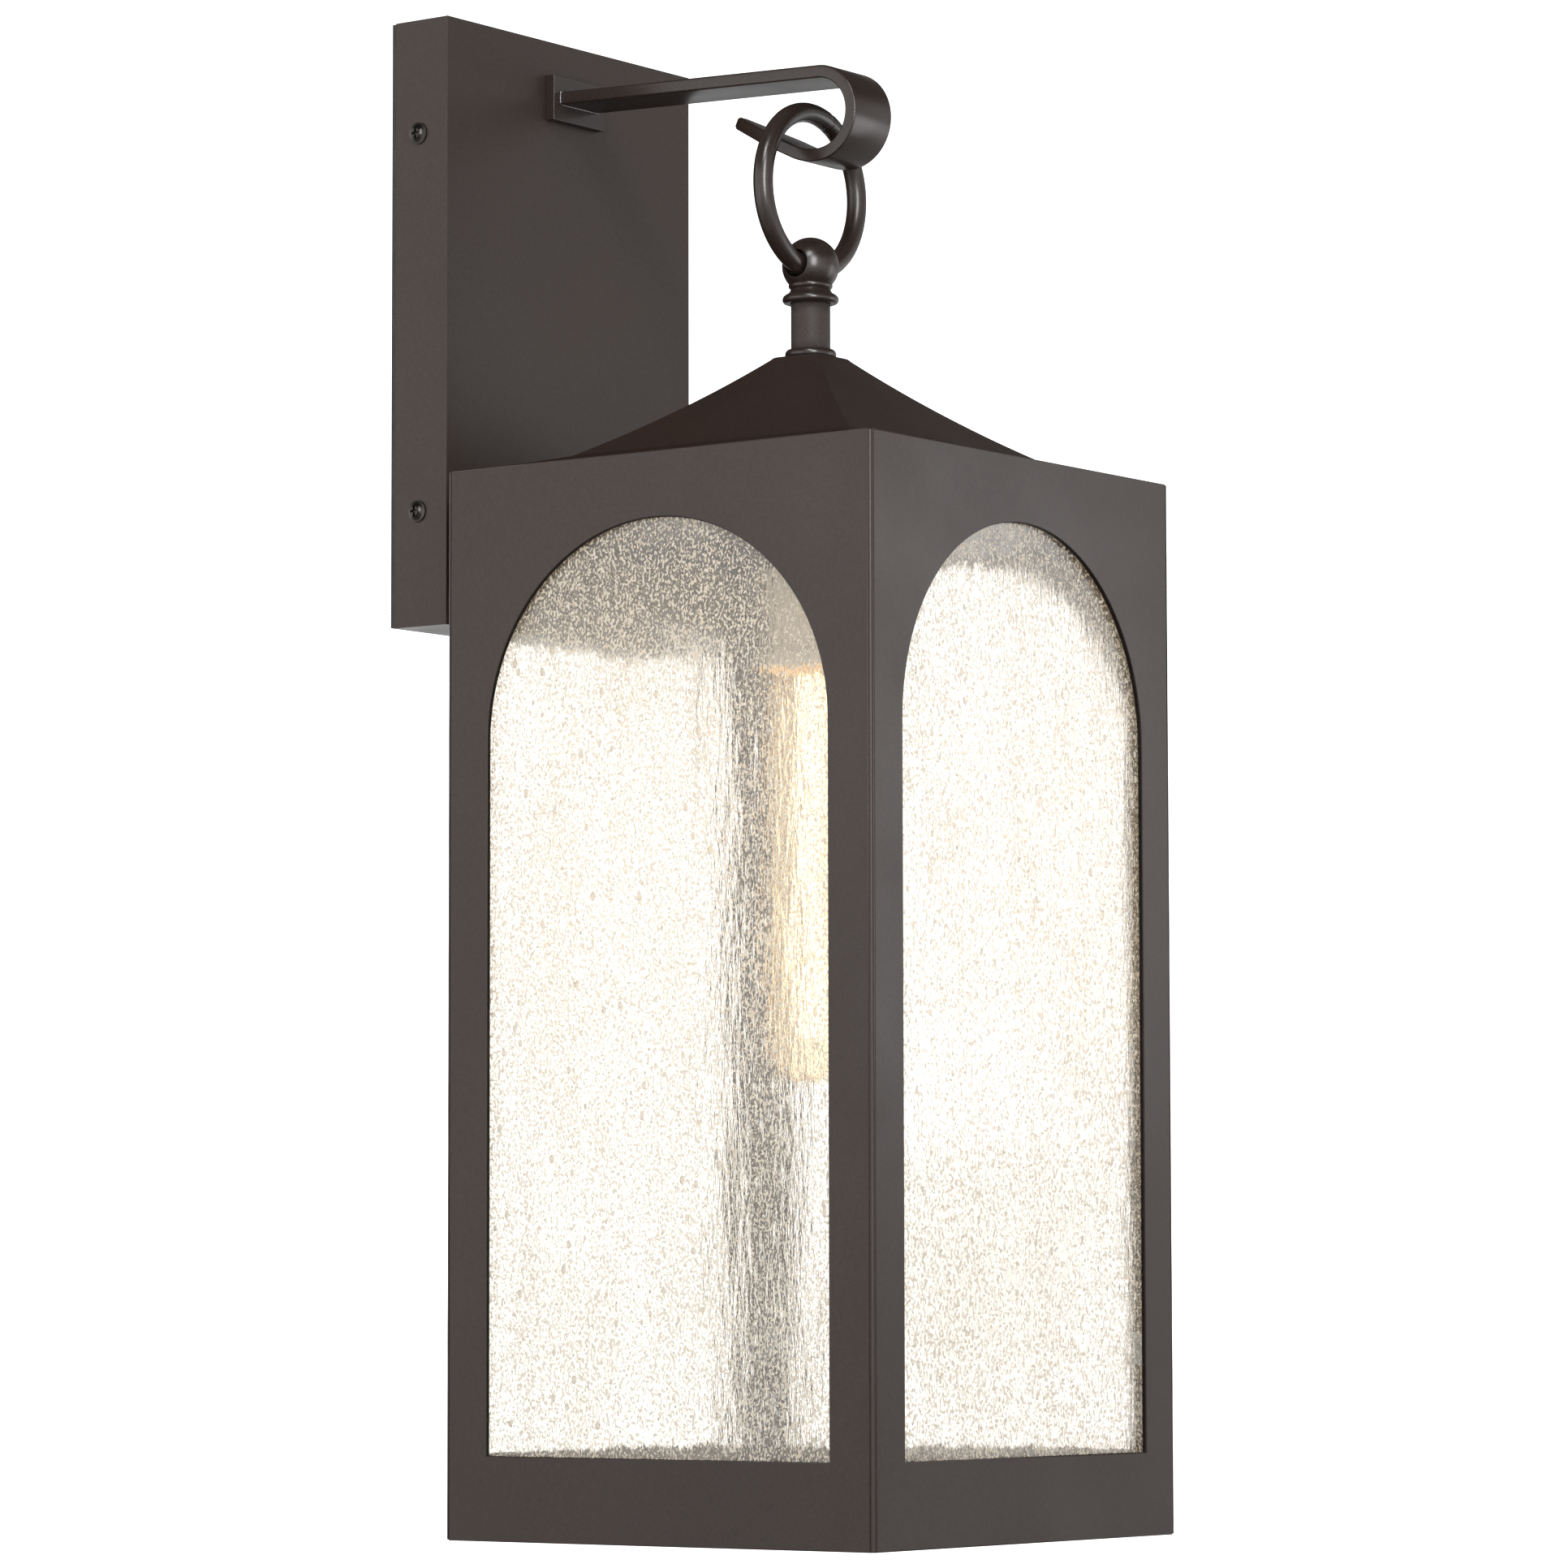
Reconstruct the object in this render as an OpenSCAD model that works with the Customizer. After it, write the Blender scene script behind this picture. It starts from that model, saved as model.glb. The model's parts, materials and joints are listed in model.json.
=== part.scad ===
/* [Backplate] */
// Width of the backplate along the wall
plate_w = 148; // [140:1:160]
// Height of the backplate
plate_h = 228; // [220:1:260]
// Depth of the backplate from the wall to its front, gasket included
plate_d = 27; // [25:0.5:32]
// Sheet thickness of the backplate cover
plate_sheet = 1.6; // [1.2:0.1:2]
// Height between the two screws on one side of the backplate
side_screw_pitch = 142; // [130:1:150]

/* [Lantern body] */
// Width of the square body
body_w = 190; // [180:1:210]
// Height of the body, from its bottom edge to its top edge
body_h = 388; // [360:1:420]
// Clear gap between the backplate's front and the body
body_gap = 18; // [16:0.5:24]
// Height of the mounting centre above the body's top edge
body_drop = 61; // [58:0.5:66]
// Sheet thickness of the four body panels
sheet = 2; // [1.8:0.1:2.4]
// Width of each arched window
window_w = 152; // [140:1:154]
// Height of the solid rail under each window
sill_h = 30.5; // [24:0.5:36]
// Height of the solid part above the crown of each arch
crown_h = 24; // [22:0.5:30]
// Thickness of the glass panes
glass_t = 3; // [2:0.5:3]

/* [Roof] */
// Rise of the roof above the body's top edge
roof_rise = 44.7; // [42:0.1:48]
// Half width at which the roof's curve meets its flatter eave
crease_d = 63; // [56:1:68]
// Height of that crease above the body's top edge
crease_h = 6.6; // [5:0.1:8]
// Hollow of the roof's curve, at the middle of its chord
roof_sag = 1.6; // [1:0.1:3]
// Sheet thickness of the roof
roof_sheet = 1.5; // [1.2:0.1:1.8]

/* [Finial and ring] */
// Diameter of the stem tube
stem_d = 14.6; // [14:0.1:16]
// Length of stem seen between the roof collar and the knob
stem_len = 17.2; // [15:0.1:20]
// Diameter of the ball that the ring passes through
ball_d = 21.2; // [20.8:0.1:22]
// Diameter of the ring's wire
wire_d = 7.4; // [7:0.1:7.6]
// Diameter of the ring, to the middle of its wire
ring_d = 58.6; // [57:0.1:60]

/* [Hook arm] */
// Width of the flat bar
bar_w = 23.4; // [20:0.1:24]
// Thickness of the flat bar
bar_t = 4.8; // [4:0.1:5]
// Radius of the curl, to the middle of the bar
curl_r = 15.5; // [15:0.1:16.5]
// Fall of the arm on its way out from the wall, in degrees
arm_slope = 2; // [0:0.5:3]
// Angle that the tail rises at
tail_rise = 26; // [22:1:30]
// Length of the straight tail
tail_len = 36.8; // [30:0.1:38]

/* [Lamp] */
// Diameter of the tubular bulb
bulb_d = 32; // [28:1:40]
// Length of the bulb's glass below the socket
bulb_len = 152; // [120:1:170]

/* [Hidden] */

$fn = 48;
cut = 0.5;             // how far a cutter passes through a face
fit = 0.2;             // gap between fixed pieces that don't bear on each other
run = 0.4;             // gap around a piece that moves
thread_gap = 0.05;     // gap between a screw thread and its nut
bronze = [0.31, 0.28, 0.265];
bronze_dark = [0.22, 0.19, 0.18];
zinc = [0.72, 0.72, 0.7];

// Backplate and its bracket
gasket_t = 2;
gasket_w = 6;
bracket_t = 2;
ear_w = 18;
ear_len = 18;
side_screw_y = -13;
side_screw_r = 1.95;
side_screw_len = 7;
side_head_r = 4.1;
side_head_h = 2;
slot_pitch = 88.9;
slot_r = 2.4;
slot_len = 14;
bracket_w = 104;
bracket_h = side_screw_pitch + ear_w;
inner_x = plate_w / 2 - plate_sheet;
plate_back = -plate_d + plate_sheet;

// Body
body_top = -body_drop;
body_bottom = body_top - body_h;
axis_y = -(plate_d + body_gap + body_w / 2);
inner_r = body_w / 2 - sheet;
ridge = 1.55;          // distance of the corner's ridges from the true corner
groove = 1.3;          // depth of the groove between them
arch_r = window_w / 2;
spring_z = body_top - crown_h - arch_r;
sill_z = body_bottom + sill_h;
glass_lap = 9;
glass_w = window_w + 2 * glass_lap;
glass_low = sill_z - glass_lap;
glass_high = body_top - crown_h + glass_lap / 2;
glass_inner = inner_r - fit - glass_t;
deck_t = 1.2;
deck_z = body_top - crown_h + 0.4;
deck_r = glass_inner - 0.8;
frame_open = 150;
frame_t = 1.5;

// Fixing of the body to the backplate
feed_z = body_top - 11.2;
feed_nut_flats = 15.8;
feed_r = 6.8;
feed_bore_r = 4.8;
spacer_x = 42;
spacer_r = 6;
bolt_r = 2.4;

// Finial
collar_r = 9.4;
collar_h = 2.8;
roof_top = body_top + roof_rise;
stem_low = roof_top + collar_h;
knob_low = stem_low + stem_len;
ball_z = knob_low + 14.4;
nipple_r = 5;
nipple_hole_r = 5.3;
eye_hole_r = 5.2;
ring_z = ball_z - 1.4 + ring_d / 2;

// Lamp
cap_top = deck_z - 4.4;
cap_h = 7;
socket_r = 18;
socket_top = cap_top - cap_h;
socket_low = socket_top - 36;
shell_in_r = 13.6;
shell_t = 0.6;
cavity_h = 29;
base_r = 13.1;
base_len = 20;
base_top = socket_low + 25;
bulb_r = bulb_d / 2;
neck_z = base_top - base_len;
neck_r = 12.2;
bulb_low = socket_low - bulb_len;
thread_pitch = 3.63;
contact_h = 1.4;
contact_r = 4;
lead_r = 1.2;

// Points of the arc from p to q that bulges to the left of its chord by h at its middle
function arc(p, q, h, n) =
    let (
        c = norm(q - p) / 2,
        r = (c * c + h * h) / (2 * abs(h)),
        dir = (q - p) / (2 * c),
        left = [-dir[1], dir[0]],
        centre = (p + q) / 2 + left * (h - sign(h) * r),
        a0 = atan2(p[1] - centre[1], p[0] - centre[0]),
        half = asin(min(1, c / r))
    )
    [for (i = [0:n]) let (a = a0 - sign(h) * 2 * half * i / n) centre + r * [cos(a), sin(a)]];

// The far half of a list of points, mirrored to -x and taken backwards
function mirrored(pts) = [for (i = [len(pts) - 1:-1:0]) [-pts[i][0], pts[i][1]]];
function reverse_list(pts) = [for (i = [len(pts) - 1:-1:0]) pts[i]];

// Seen from the side: draws in a plane of distance from the wall and height
module side_view() {
    rotate([90, 0, -90]) children();
}

// Places something on the lantern's vertical axis, at a height
module on_axis(z = 0) {
    translate([0, axis_y, z]) children();
}

// One of the lantern's four sides: 0 front, 1 right, 2 back, 3 left
module side(k) {
    on_axis() rotate([0, 0, 90 * k]) children();
}

// A straight tube on Z, from z = 0 upwards
module tube(r_out, r_in, h) {
    difference() {
        cylinder(r = r_out, h = h);
        translate([0, 0, -cut]) cylinder(r = r_in, h = h + 2 * cut);
    }
}

// A hexagon nut on Z, with a plain hole
module hex_nut(flats, hole_r, h) {
    difference() {
        rotate([0, 0, 30]) cylinder(r = flats / sqrt(3), h = h, $fn = 6);
        translate([0, 0, -cut]) cylinder(r = hole_r, h = h + 2 * cut);
    }
}

// A pan-head screw on Z: the head's underside is at z = 0, and the shank hangs below
module pan_screw(shank_r, shank_len, head_r, head_h) {
    rim = [head_r, head_h * 0.3];
    crown = [head_r * 0.45, head_h];
    recess_len = head_r * 0.95;
    recess_w = head_r * 0.22;
    recess_floor = head_h * 0.35;
    difference() {
        union() {
            translate([0, 0, -shank_len]) cylinder(r = shank_r, h = shank_len + cut);
            rotate_extrude() polygon(concat(
                [[0, 0], [head_r, 0], rim], arc(rim, crown, head_h * 0.18, 6), [[0, head_h]]
            ));
        }
        for (a = [0, 90]) rotate([0, 0, a])
            translate([-recess_len / 2, -recess_w / 2, recess_floor])
                cube([recess_len, recess_w, head_h]);
    }
}

module plate_holes() {
    for (s = [-1, 1], z = [-1, 1])
        translate([s * (plate_w / 2 + cut), side_screw_y, z * side_screw_pitch / 2])
            rotate([0, -90 * s, 0]) cylinder(r = side_screw_r + fit, h = plate_sheet + 2 * cut);
    for (s = [-1, 1]) translate([s * arm_screw_x, -plate_d - cut, arm_root_z])
        rotate([-90, 0, 0]) cylinder(r = arm_screw_r + fit, h = plate_sheet + 2 * cut);
    translate([0, -plate_d - cut, feed_z])
        rotate([-90, 0, 0]) cylinder(r = feed_r + fit, h = plate_sheet + 2 * cut);
    for (s = [-1, 1]) translate([s * spacer_x, -plate_d - cut, feed_z])
        rotate([-90, 0, 0]) cylinder(r = bolt_r + fit, h = plate_sheet + 2 * cut);
}

module backplate() {
    color(bronze) difference() {
        translate([-plate_w / 2, -plate_d, -plate_h / 2])
            cube([plate_w, plate_d - gasket_t, plate_h]);
        translate([-inner_x, plate_back, -plate_h / 2 + plate_sheet])
            cube([2 * inner_x, plate_d, plate_h - 2 * plate_sheet]);
        plate_holes();
    }
}

// Flat plate against the wall, with four ears that take the side screws
module mounting_bracket() {
    ear_x = inner_x - fit;
    color(zinc) difference() {
        union() {
            translate([-bracket_w / 2, -bracket_t, -bracket_h / 2])
                cube([bracket_w, bracket_t, bracket_h]);
            for (z = [-1, 1]) {
                translate([-ear_x, -bracket_t, z * side_screw_pitch / 2 - ear_w / 2])
                    cube([2 * ear_x, bracket_t, ear_w]);
                for (s = [-1, 1])
                    translate([s * (ear_x - bracket_t / 2) - bracket_t / 2, -ear_len - bracket_t,
                               z * side_screw_pitch / 2 - ear_w / 2])
                        cube([bracket_t, ear_len + bracket_t, ear_w]);
            }
        }
        for (s = [-1, 1], z = [-1, 1])
            translate([s * (ear_x + cut), side_screw_y, z * side_screw_pitch / 2])
                rotate([0, -90 * s, 0]) cylinder(r = side_screw_r + thread_gap, h = bracket_t + 2 * cut);
        for (s = [-1, 1]) wall_slot(s * slot_pitch / 2);
        translate([0, cut, wire_hole_z]) rotate([90, 0, 0])
            cylinder(r = wire_hole_r, h = bracket_t + 2 * cut);
        translate([ground_x, cut, ground_z]) rotate([90, 0, 0])
            cylinder(r = ground_r + thread_gap, h = bracket_t + 2 * cut);
    }
}
wire_hole_z = -42;
wire_hole_r = 14;
ground_x = 34;
ground_z = 40;
ground_r = 2.4;
ground_end = 1.4;      // how far the screw stands proud of the bracket
ground_head_r = 4.6;
ground_head_h = 2.6;

// A horizontal slot for one outlet-box screw
module wall_slot(x) {
    run_len = slot_len - 2 * slot_r;
    translate([x, cut, 0]) rotate([90, 0, 0]) union() {
        for (s = [-1, 1]) translate([s * run_len / 2, 0, 0])
            cylinder(r = slot_r, h = bracket_t + 2 * cut);
        translate([-run_len / 2, -slot_r, 0]) cube([run_len, 2 * slot_r, bracket_t + 2 * cut]);
    }
}

module wall_gasket() {
    color([0.12, 0.12, 0.12]) difference() {
        translate([-plate_w / 2 + fit, -gasket_t, -plate_h / 2 + fit])
            cube([plate_w - 2 * fit, gasket_t, plate_h - 2 * fit]);
        translate([-plate_w / 2 + gasket_w, -gasket_t - cut, -plate_h / 2 + gasket_w])
            cube([plate_w - 2 * gasket_w, gasket_t + 2 * cut, plate_h - 2 * gasket_w]);
        for (z = [-1, 1])
            translate([-inner_x, -gasket_t - cut, z * side_screw_pitch / 2 - ear_w / 2 - fit])
                cube([2 * inner_x, gasket_t + 2 * cut, ear_w + 2 * fit]);
    }
}

module side_screws() {
    color(bronze_dark) for (s = [-1, 1], z = [-1, 1])
        translate([s * plate_w / 2, side_screw_y, z * side_screw_pitch / 2])
            rotate([0, 90 * s, 0]) pan_screw(side_screw_r, side_screw_len, side_head_r, side_head_h);
}

module ground_screw() {
    color([0.2, 0.5, 0.28]) translate([ground_x, -bracket_t - ground_end, ground_z]) rotate([90, 0, 0]) {
        translate([0, 0, -ground_end - bracket_t])
            cylinder(r = ground_r, h = ground_end + bracket_t + cut);
        rotate([0, 0, 30]) cylinder(r = ground_head_r, h = ground_head_h, $fn = 6);
    }
}

// Twist-on connectors, where the fixture's leads join the building's wires
connector_x = [-30, 0, 30];
connector_z = 6;
connector_y = -14;
connector_low_r = 5.6;
connector_top_r = 3.4;
connector_bore_r = 2;
connector_h = 18;
connector_end = 3;     // solid end above the connector's bore
module wire_connectors() {
    color([0.85, 0.42, 0.12]) for (x = connector_x) translate([x, connector_y, connector_z])
        difference() {
            cylinder(r1 = connector_low_r, r2 = connector_top_r, h = connector_h);
            translate([0, 0, -cut]) cylinder(r = connector_bore_r, h = connector_h - connector_end + cut);
        }
}

// Hook arm, its flange and its screws
flange_w = 31;
flange_h = 17.4;
flange_t = 4;
arm_screw_x = 9;
arm_screw_r = 1.9;
arm_screw_len = 4.2;
arm_hole_end = 1;      // metal left in front of each blind hole
arm_head_r = 3.6;
arm_head_h = 2.2;
curl_u = -axis_y + 11;
curl_z = 72.4;
turn_r = 24.6;         // radius of the gentler bend between the curl and the tail
tip_w = 4;
taper_from = 0.4;      // share of the tail that keeps the bar's full width
arm_root_z = curl_z + curl_r * cos(arm_slope)
    + (curl_u + curl_r * sin(arm_slope) - plate_d - flange_t) * tan(arm_slope);

module arm_flange() {
    color(bronze) difference() {
        translate([-flange_w / 2, -plate_d - flange_t, arm_root_z - flange_h / 2])
            cube([flange_w, flange_t, flange_h]);
        for (s = [-1, 1]) translate([s * arm_screw_x, -plate_d + cut, arm_root_z])
            rotate([90, 0, 0]) cylinder(r = arm_screw_r + thread_gap, h = flange_t - arm_hole_end + cut);
    }
}

module arm_screws() {
    color(zinc) for (s = [-1, 1]) translate([s * arm_screw_x, plate_back, arm_root_z])
        rotate([-90, 0, 0]) pan_screw(arm_screw_r, arm_screw_len, arm_head_r, arm_head_h);
}

// The middle line of the bar, seen from the side, as [distance from wall, height, direction]
function bar_line() =
    let (
        turn = [curl_u, curl_z - curl_r + turn_r],
        end = turn - turn_r * [sin(tail_rise), cos(tail_rise)],
        curl_steps = 32,
        turn_steps = 8
    )
    concat(
        [[plate_d + flange_t, arm_root_z, 0]],
        [for (i = [0:curl_steps])
            let (a = arm_slope + (180 - arm_slope) * i / curl_steps)
            [curl_u + curl_r * sin(a), curl_z + curl_r * cos(a), -a]],
        [for (i = [1:turn_steps])
            let (a = tail_rise * i / turn_steps)
            [turn[0] - turn_r * sin(a), turn[1] - turn_r * cos(a), -180 - a]],
        [[end[0] - tail_len * cos(tail_rise), end[1] + tail_len * sin(tail_rise), -180 - tail_rise]]
    );

// The line moved sideways, to its left, by a distance
function beside(line, d) = [for (p = line) [p[0] - d * sin(p[2]), p[1] + d * cos(p[2])]];

// The flat bar: an arm, a curl that turns back under it, and a tail that narrows to its tip
module hook_arm() {
    line = bar_line();
    tail = line[len(line) - 2];
    tip = line[len(line) - 1];
    narrow_u = tail[0] + (tip[0] - tail[0]) * taper_from;
    under_arm = curl_z + curl_r - 2 * bar_t;
    far_side = reverse_list(beside(line, -bar_t / 2));
    color(bronze) difference() {
        side_view() translate([0, 0, -bar_w / 2]) linear_extrude(height = bar_w)
            polygon(concat(beside(line, bar_t / 2), far_side));
        for (m = [0, 1]) mirror([m, 0, 0]) linear_extrude(height = under_arm) polygon([
            [bar_w / 2, -narrow_u], [tip_w / 2, -tip[0]], [tip_w / 2, -tip[0] + bar_w],
            [bar_w, -tip[0] + bar_w], [bar_w, -narrow_u]
        ]);
    }
}

// Hollow threaded nipple that carries the leads from the backplate into the lantern
feed_nut_h = 3.5;
feed_end = 1.5;        // thread showing past each nut
feed_sleeve_r = 11;
feed_y0 = plate_back + feed_nut_h + feed_end;
feed_y1 = -plate_d - body_gap - sheet - feed_nut_h - feed_end;
module feed_nipple() {
    color(zinc) translate([0, feed_y0, feed_z]) rotate([90, 0, 0])
        tube(feed_r, feed_bore_r, feed_y0 - feed_y1);
}

module feed_sleeve() {
    color(bronze) translate([0, -plate_d, feed_z]) rotate([90, 0, 0])
        tube(feed_sleeve_r, feed_r + fit, body_gap);
}

module feed_locknuts() {
    color(zinc) {
        for (y = [plate_back, feed_y1 + feed_end])
            translate([0, y + feed_nut_h, feed_z]) rotate([90, 0, 0]) rotate([0, 0, 30])
                hex_nut(feed_nut_flats, feed_r + thread_gap, feed_nut_h);
    }
}

module spacer_sleeves() {
    color(bronze) for (s = [-1, 1]) translate([s * spacer_x, -plate_d, feed_z])
        rotate([90, 0, 0]) tube(spacer_r, bolt_r + fit, body_gap);
}

bolt_head_h = 3.5;
bolt_nut_h = 4;
bolt_flats = 8;
bolt_past = 6;         // bolt that passes the backplate's sheet, nut included
module spacer_bolts() {
    head_y = -plate_d - body_gap - sheet;
    color(zinc) for (s = [-1, 1]) translate([s * spacer_x, head_y, feed_z])
        rotate([-90, 0, 0]) {
            translate([0, 0, -bolt_head_h]) cylinder(r = bolt_flats / sqrt(3), h = bolt_head_h, $fn = 6);
            translate([0, 0, -cut])
                cylinder(r = bolt_r, h = sheet + body_gap + plate_sheet + bolt_past + cut);
        }
}

module spacer_nuts() {
    color(zinc) for (s = [-1, 1]) translate([s * spacer_x, plate_back + bolt_nut_h, feed_z])
        rotate([90, 0, 0]) hex_nut(bolt_flats, bolt_r + thread_gap, bolt_nut_h);
}

// One body panel, seen as the front one: mitred edges with a groove, and an arched window
module panel(holes = false) {
    half = body_w / 2;
    difference() {
        translate([0, -half, body_bottom]) linear_extrude(height = body_h) polygon([
            [-half + ridge, 0], [half - ridge, 0], [half - groove, groove],
            [half - sheet, sheet], [-half + sheet, sheet], [-half + groove, groove]
        ]);
        translate([-arch_r, -half - cut, sill_z])
            cube([window_w, sheet + 2 * cut, spring_z - sill_z]);
        translate([0, -half - cut, spring_z]) rotate([-90, 0, 0])
            cylinder(r = arch_r, h = sheet + 2 * cut, $fn = 96);
        if (holes) {
            translate([0, -half - cut, feed_z]) rotate([-90, 0, 0])
                cylinder(r = feed_r + fit, h = sheet + 2 * cut);
            for (s = [-1, 1]) translate([s * spacer_x, -half - cut, feed_z]) rotate([-90, 0, 0])
                cylinder(r = bolt_r + fit, h = sheet + 2 * cut);
        }
    }
}

module front_panel() { color(bronze) side(0) panel(); }
module right_panel() { color(bronze) side(1) panel(); }
module back_panel() { color(bronze) side(2) panel(holes = true); }
module left_panel() { color(bronze) side(3) panel(); }

// Inward lip round the open bottom
module bottom_frame() {
    color(bronze) on_axis(body_bottom + frame_t) difference() {
        translate([-inner_r + fit, -inner_r + fit, 0])
            cube([2 * (inner_r - fit), 2 * (inner_r - fit), frame_t]);
        translate([-frame_open / 2, -frame_open / 2, -cut])
            cube([frame_open, frame_open, frame_t + 2 * cut]);
    }
}

// Sheet under the roof that carries the socket, with a corner ear on each corner
grommet_y = 26;
grommet_hole_r = 5;
module top_deck() {
    ear = inner_r - fit;
    ear_in = glass_w / 2 + 1;
    color(bronze_dark) on_axis(deck_z) difference() {
        union() {
            translate([-deck_r, -deck_r, 0]) cube([2 * deck_r, 2 * deck_r, deck_t]);
            for (k = [0:3]) rotate([0, 0, 90 * k])
                translate([ear_in, ear_in, 0]) cube([ear - ear_in, ear - ear_in, deck_t]);
        }
        translate([0, 0, -cut]) cylinder(r = nipple_hole_r, h = deck_t + 2 * cut);
        translate([0, grommet_y, -cut]) cylinder(r = grommet_hole_r, h = deck_t + 2 * cut);
    }
}

// Half outline of the roof, from its top flat out to its eave
eave_r = inner_r - fit;
skirt_h = 2.4;
flat_d = 9.4;
shoulder_d = 10.6;
shoulder_h = roof_rise - 0.9;
shoulder_bulge = 0.15;
eave_h = -0.5;         // height of the eave's edge from the body's top edge
function roof_outline() = concat(
    arc([flat_d, roof_rise], [shoulder_d, shoulder_h], shoulder_bulge, 5),
    arc([shoulder_d, shoulder_h], [crease_d, crease_h], -roof_sag, 14),
    [[eave_r, eave_h]]
);

// A square roof solid: the outline seen from the front and from the side, both at once
module roof_solid(lower, inset) {
    edge = [for (p = roof_outline()) [min(p[0], eave_r - inset), p[1] - lower]];
    shape = concat(edge, [[eave_r - inset, -skirt_h - lower]]);
    outline = concat(mirrored(shape), shape);
    intersection() {
        rotate([90, 0, 0]) linear_extrude(height = 2 * body_w, center = true) polygon(outline);
        rotate([90, 0, 90]) linear_extrude(height = 2 * body_w, center = true) polygon(outline);
    }
}

roof_lower = 1.2 * roof_sheet;
module roof() {
    color(bronze_dark) on_axis(body_top) difference() {
        roof_solid(0, 0);
        roof_solid(roof_lower, roof_sheet);
        translate([0, 0, roof_rise - 3 * roof_sheet]) cylinder(r = nipple_hole_r, h = 4 * roof_sheet);
    }
}

// One rectangular pane behind the front panel's window
module pane() {
    translate([-glass_w / 2, -inner_r + fit, glass_low])
        cube([glass_w, glass_t, glass_high - glass_low]);
}

module front_glass() { color([0.85, 0.87, 0.84, 0.4]) side(0) pane(); }
module right_glass() { color([0.85, 0.87, 0.84, 0.4]) side(1) pane(); }
module back_glass() { color([0.85, 0.87, 0.84, 0.4]) side(2) pane(); }
module left_glass() { color([0.85, 0.87, 0.84, 0.4]) side(3) pane(); }

// Bent tabs that hold the panes; the two pairs of sides have theirs at other heights
tab_t = 0.8;
tab_h = 12;
tab_low = [40, 62];
tab_high = [300, 322];
tab_grip = 6;
tab_gap = 0.1;
module tab() {
    stand = glass_w / 2 + fit;
    foot = inner_r - ridge - tab_t;
    over = fit + glass_t + tab_gap;
    translate([stand, -inner_r, 0]) cube([foot - stand, tab_t, tab_h]);
    translate([stand, -inner_r, 0]) cube([tab_t, over + tab_t, tab_h]);
    translate([stand - tab_grip, -inner_r + over, 0]) cube([tab_grip + tab_t, tab_t, tab_h]);
}

module glass_tabs() {
    color(zinc) for (k = [0:3]) side(k)
        for (z = [tab_low[k % 2], tab_high[k % 2]], m = [0, 1])
            translate([0, 0, body_bottom + z]) mirror([m, 0, 0]) tab();
}

module roof_collar() {
    low_r = collar_r - 0.3;
    top_r = collar_r - 0.8;
    bulge = 0.7;
    color(bronze) on_axis(roof_top) rotate_extrude() polygon(concat(
        [[nipple_hole_r, 0]], arc([low_r, 0], [top_r, collar_h], -bulge, 6), [[nipple_hole_r, collar_h]]
    ));
}

stem_recess = 1.4;     // depth of the knob's socket for the stem
knob_bore = 7;         // depth of the knob's threaded hole for the nipple
module stem_tube() {
    color(bronze) on_axis(stem_low) tube(stem_d / 2, nipple_hole_r + fit, stem_len + stem_recess);
}

// Knob: a flared foot over the stem, a beaded neck and a drilled ball
module eye_knob() {
    foot_r = 10;
    foot_top = [9.6, 3.4];
    cove_top = [7.1, 6];
    bead_low = [7.6, 6.2];
    bead_top = [7.6, 8];
    inside_ball = 3;
    color(bronze) on_axis(knob_low) difference() {
        union() {
            rotate_extrude() polygon(concat(
                [[0, 0]],
                arc([foot_r, 0], foot_top, -0.8, 6),
                arc(foot_top - [0.3, -0.1], cove_top, 0.7, 6),
                arc(bead_low, bead_top, -0.5, 5),
                [[0, bead_top[1] + inside_ball]]
            ));
            translate([0, 0, ball_z - knob_low]) sphere(r = ball_d / 2, $fn = 64);
        }
        translate([0, 0, -cut]) cylinder(r = stem_d / 2 + fit / 2, h = stem_recess + cut);
        translate([0, 0, -cut]) cylinder(r = nipple_r + thread_gap, h = knob_bore + cut);
        translate([-ball_d / 2 - cut, 0, ball_z - knob_low]) rotate([0, 90, 0])
            cylinder(r = eye_hole_r, h = ball_d + 2 * cut);
    }
}

nipple_bore_r = 3;
nipple_top = knob_low + knob_bore - 0.5;
nipple_low = cap_top - 4;
module stem_nipple() {
    color(zinc) on_axis(nipple_low) tube(nipple_r, nipple_bore_r, nipple_top - nipple_low);
}

// Three locknuts on the stem's nipple: under the roof, and on both faces of the deck
stem_nut_h = 3;
stem_nut_flats = 12;
module stem_locknuts() {
    color(zinc) for (z = [roof_top - roof_lower - stem_nut_h, deck_z + deck_t, deck_z - stem_nut_h])
        on_axis(z) hex_nut(stem_nut_flats, nipple_r + thread_gap, stem_nut_h);
}

module deck_grommet() {
    lip = 1;
    bore = 3.4;
    rim = grommet_hole_r + 1.5;
    waist = grommet_hole_r - thread_gap;
    color([0.1, 0.1, 0.1]) on_axis(deck_z) translate([0, grommet_y, 0]) rotate_extrude() polygon([
        [bore, -lip], [rim, -lip], [rim, 0], [waist, 0], [waist, deck_t], [rim, deck_t],
        [rim, deck_t + lip], [bore, deck_t + lip]
    ]);
}

// A lead: a thin tube with eight sides swept along a list of points
function unit(v) = v / norm(v);
function heading(pts, i) =
    unit(pts[min(i + 1, len(pts) - 1)] - pts[max(i - 1, 0)]);
function lead_ring(pts, i, r, sides) =
    let (
        t = heading(pts, i),
        u = unit(cross(t, [1, 0.13, 0.07])),
        w = cross(t, u)
    )
    [for (k = [0:sides - 1]) pts[i] + r * (cos(360 * k / sides) * u + sin(360 * k / sides) * w)];
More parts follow.
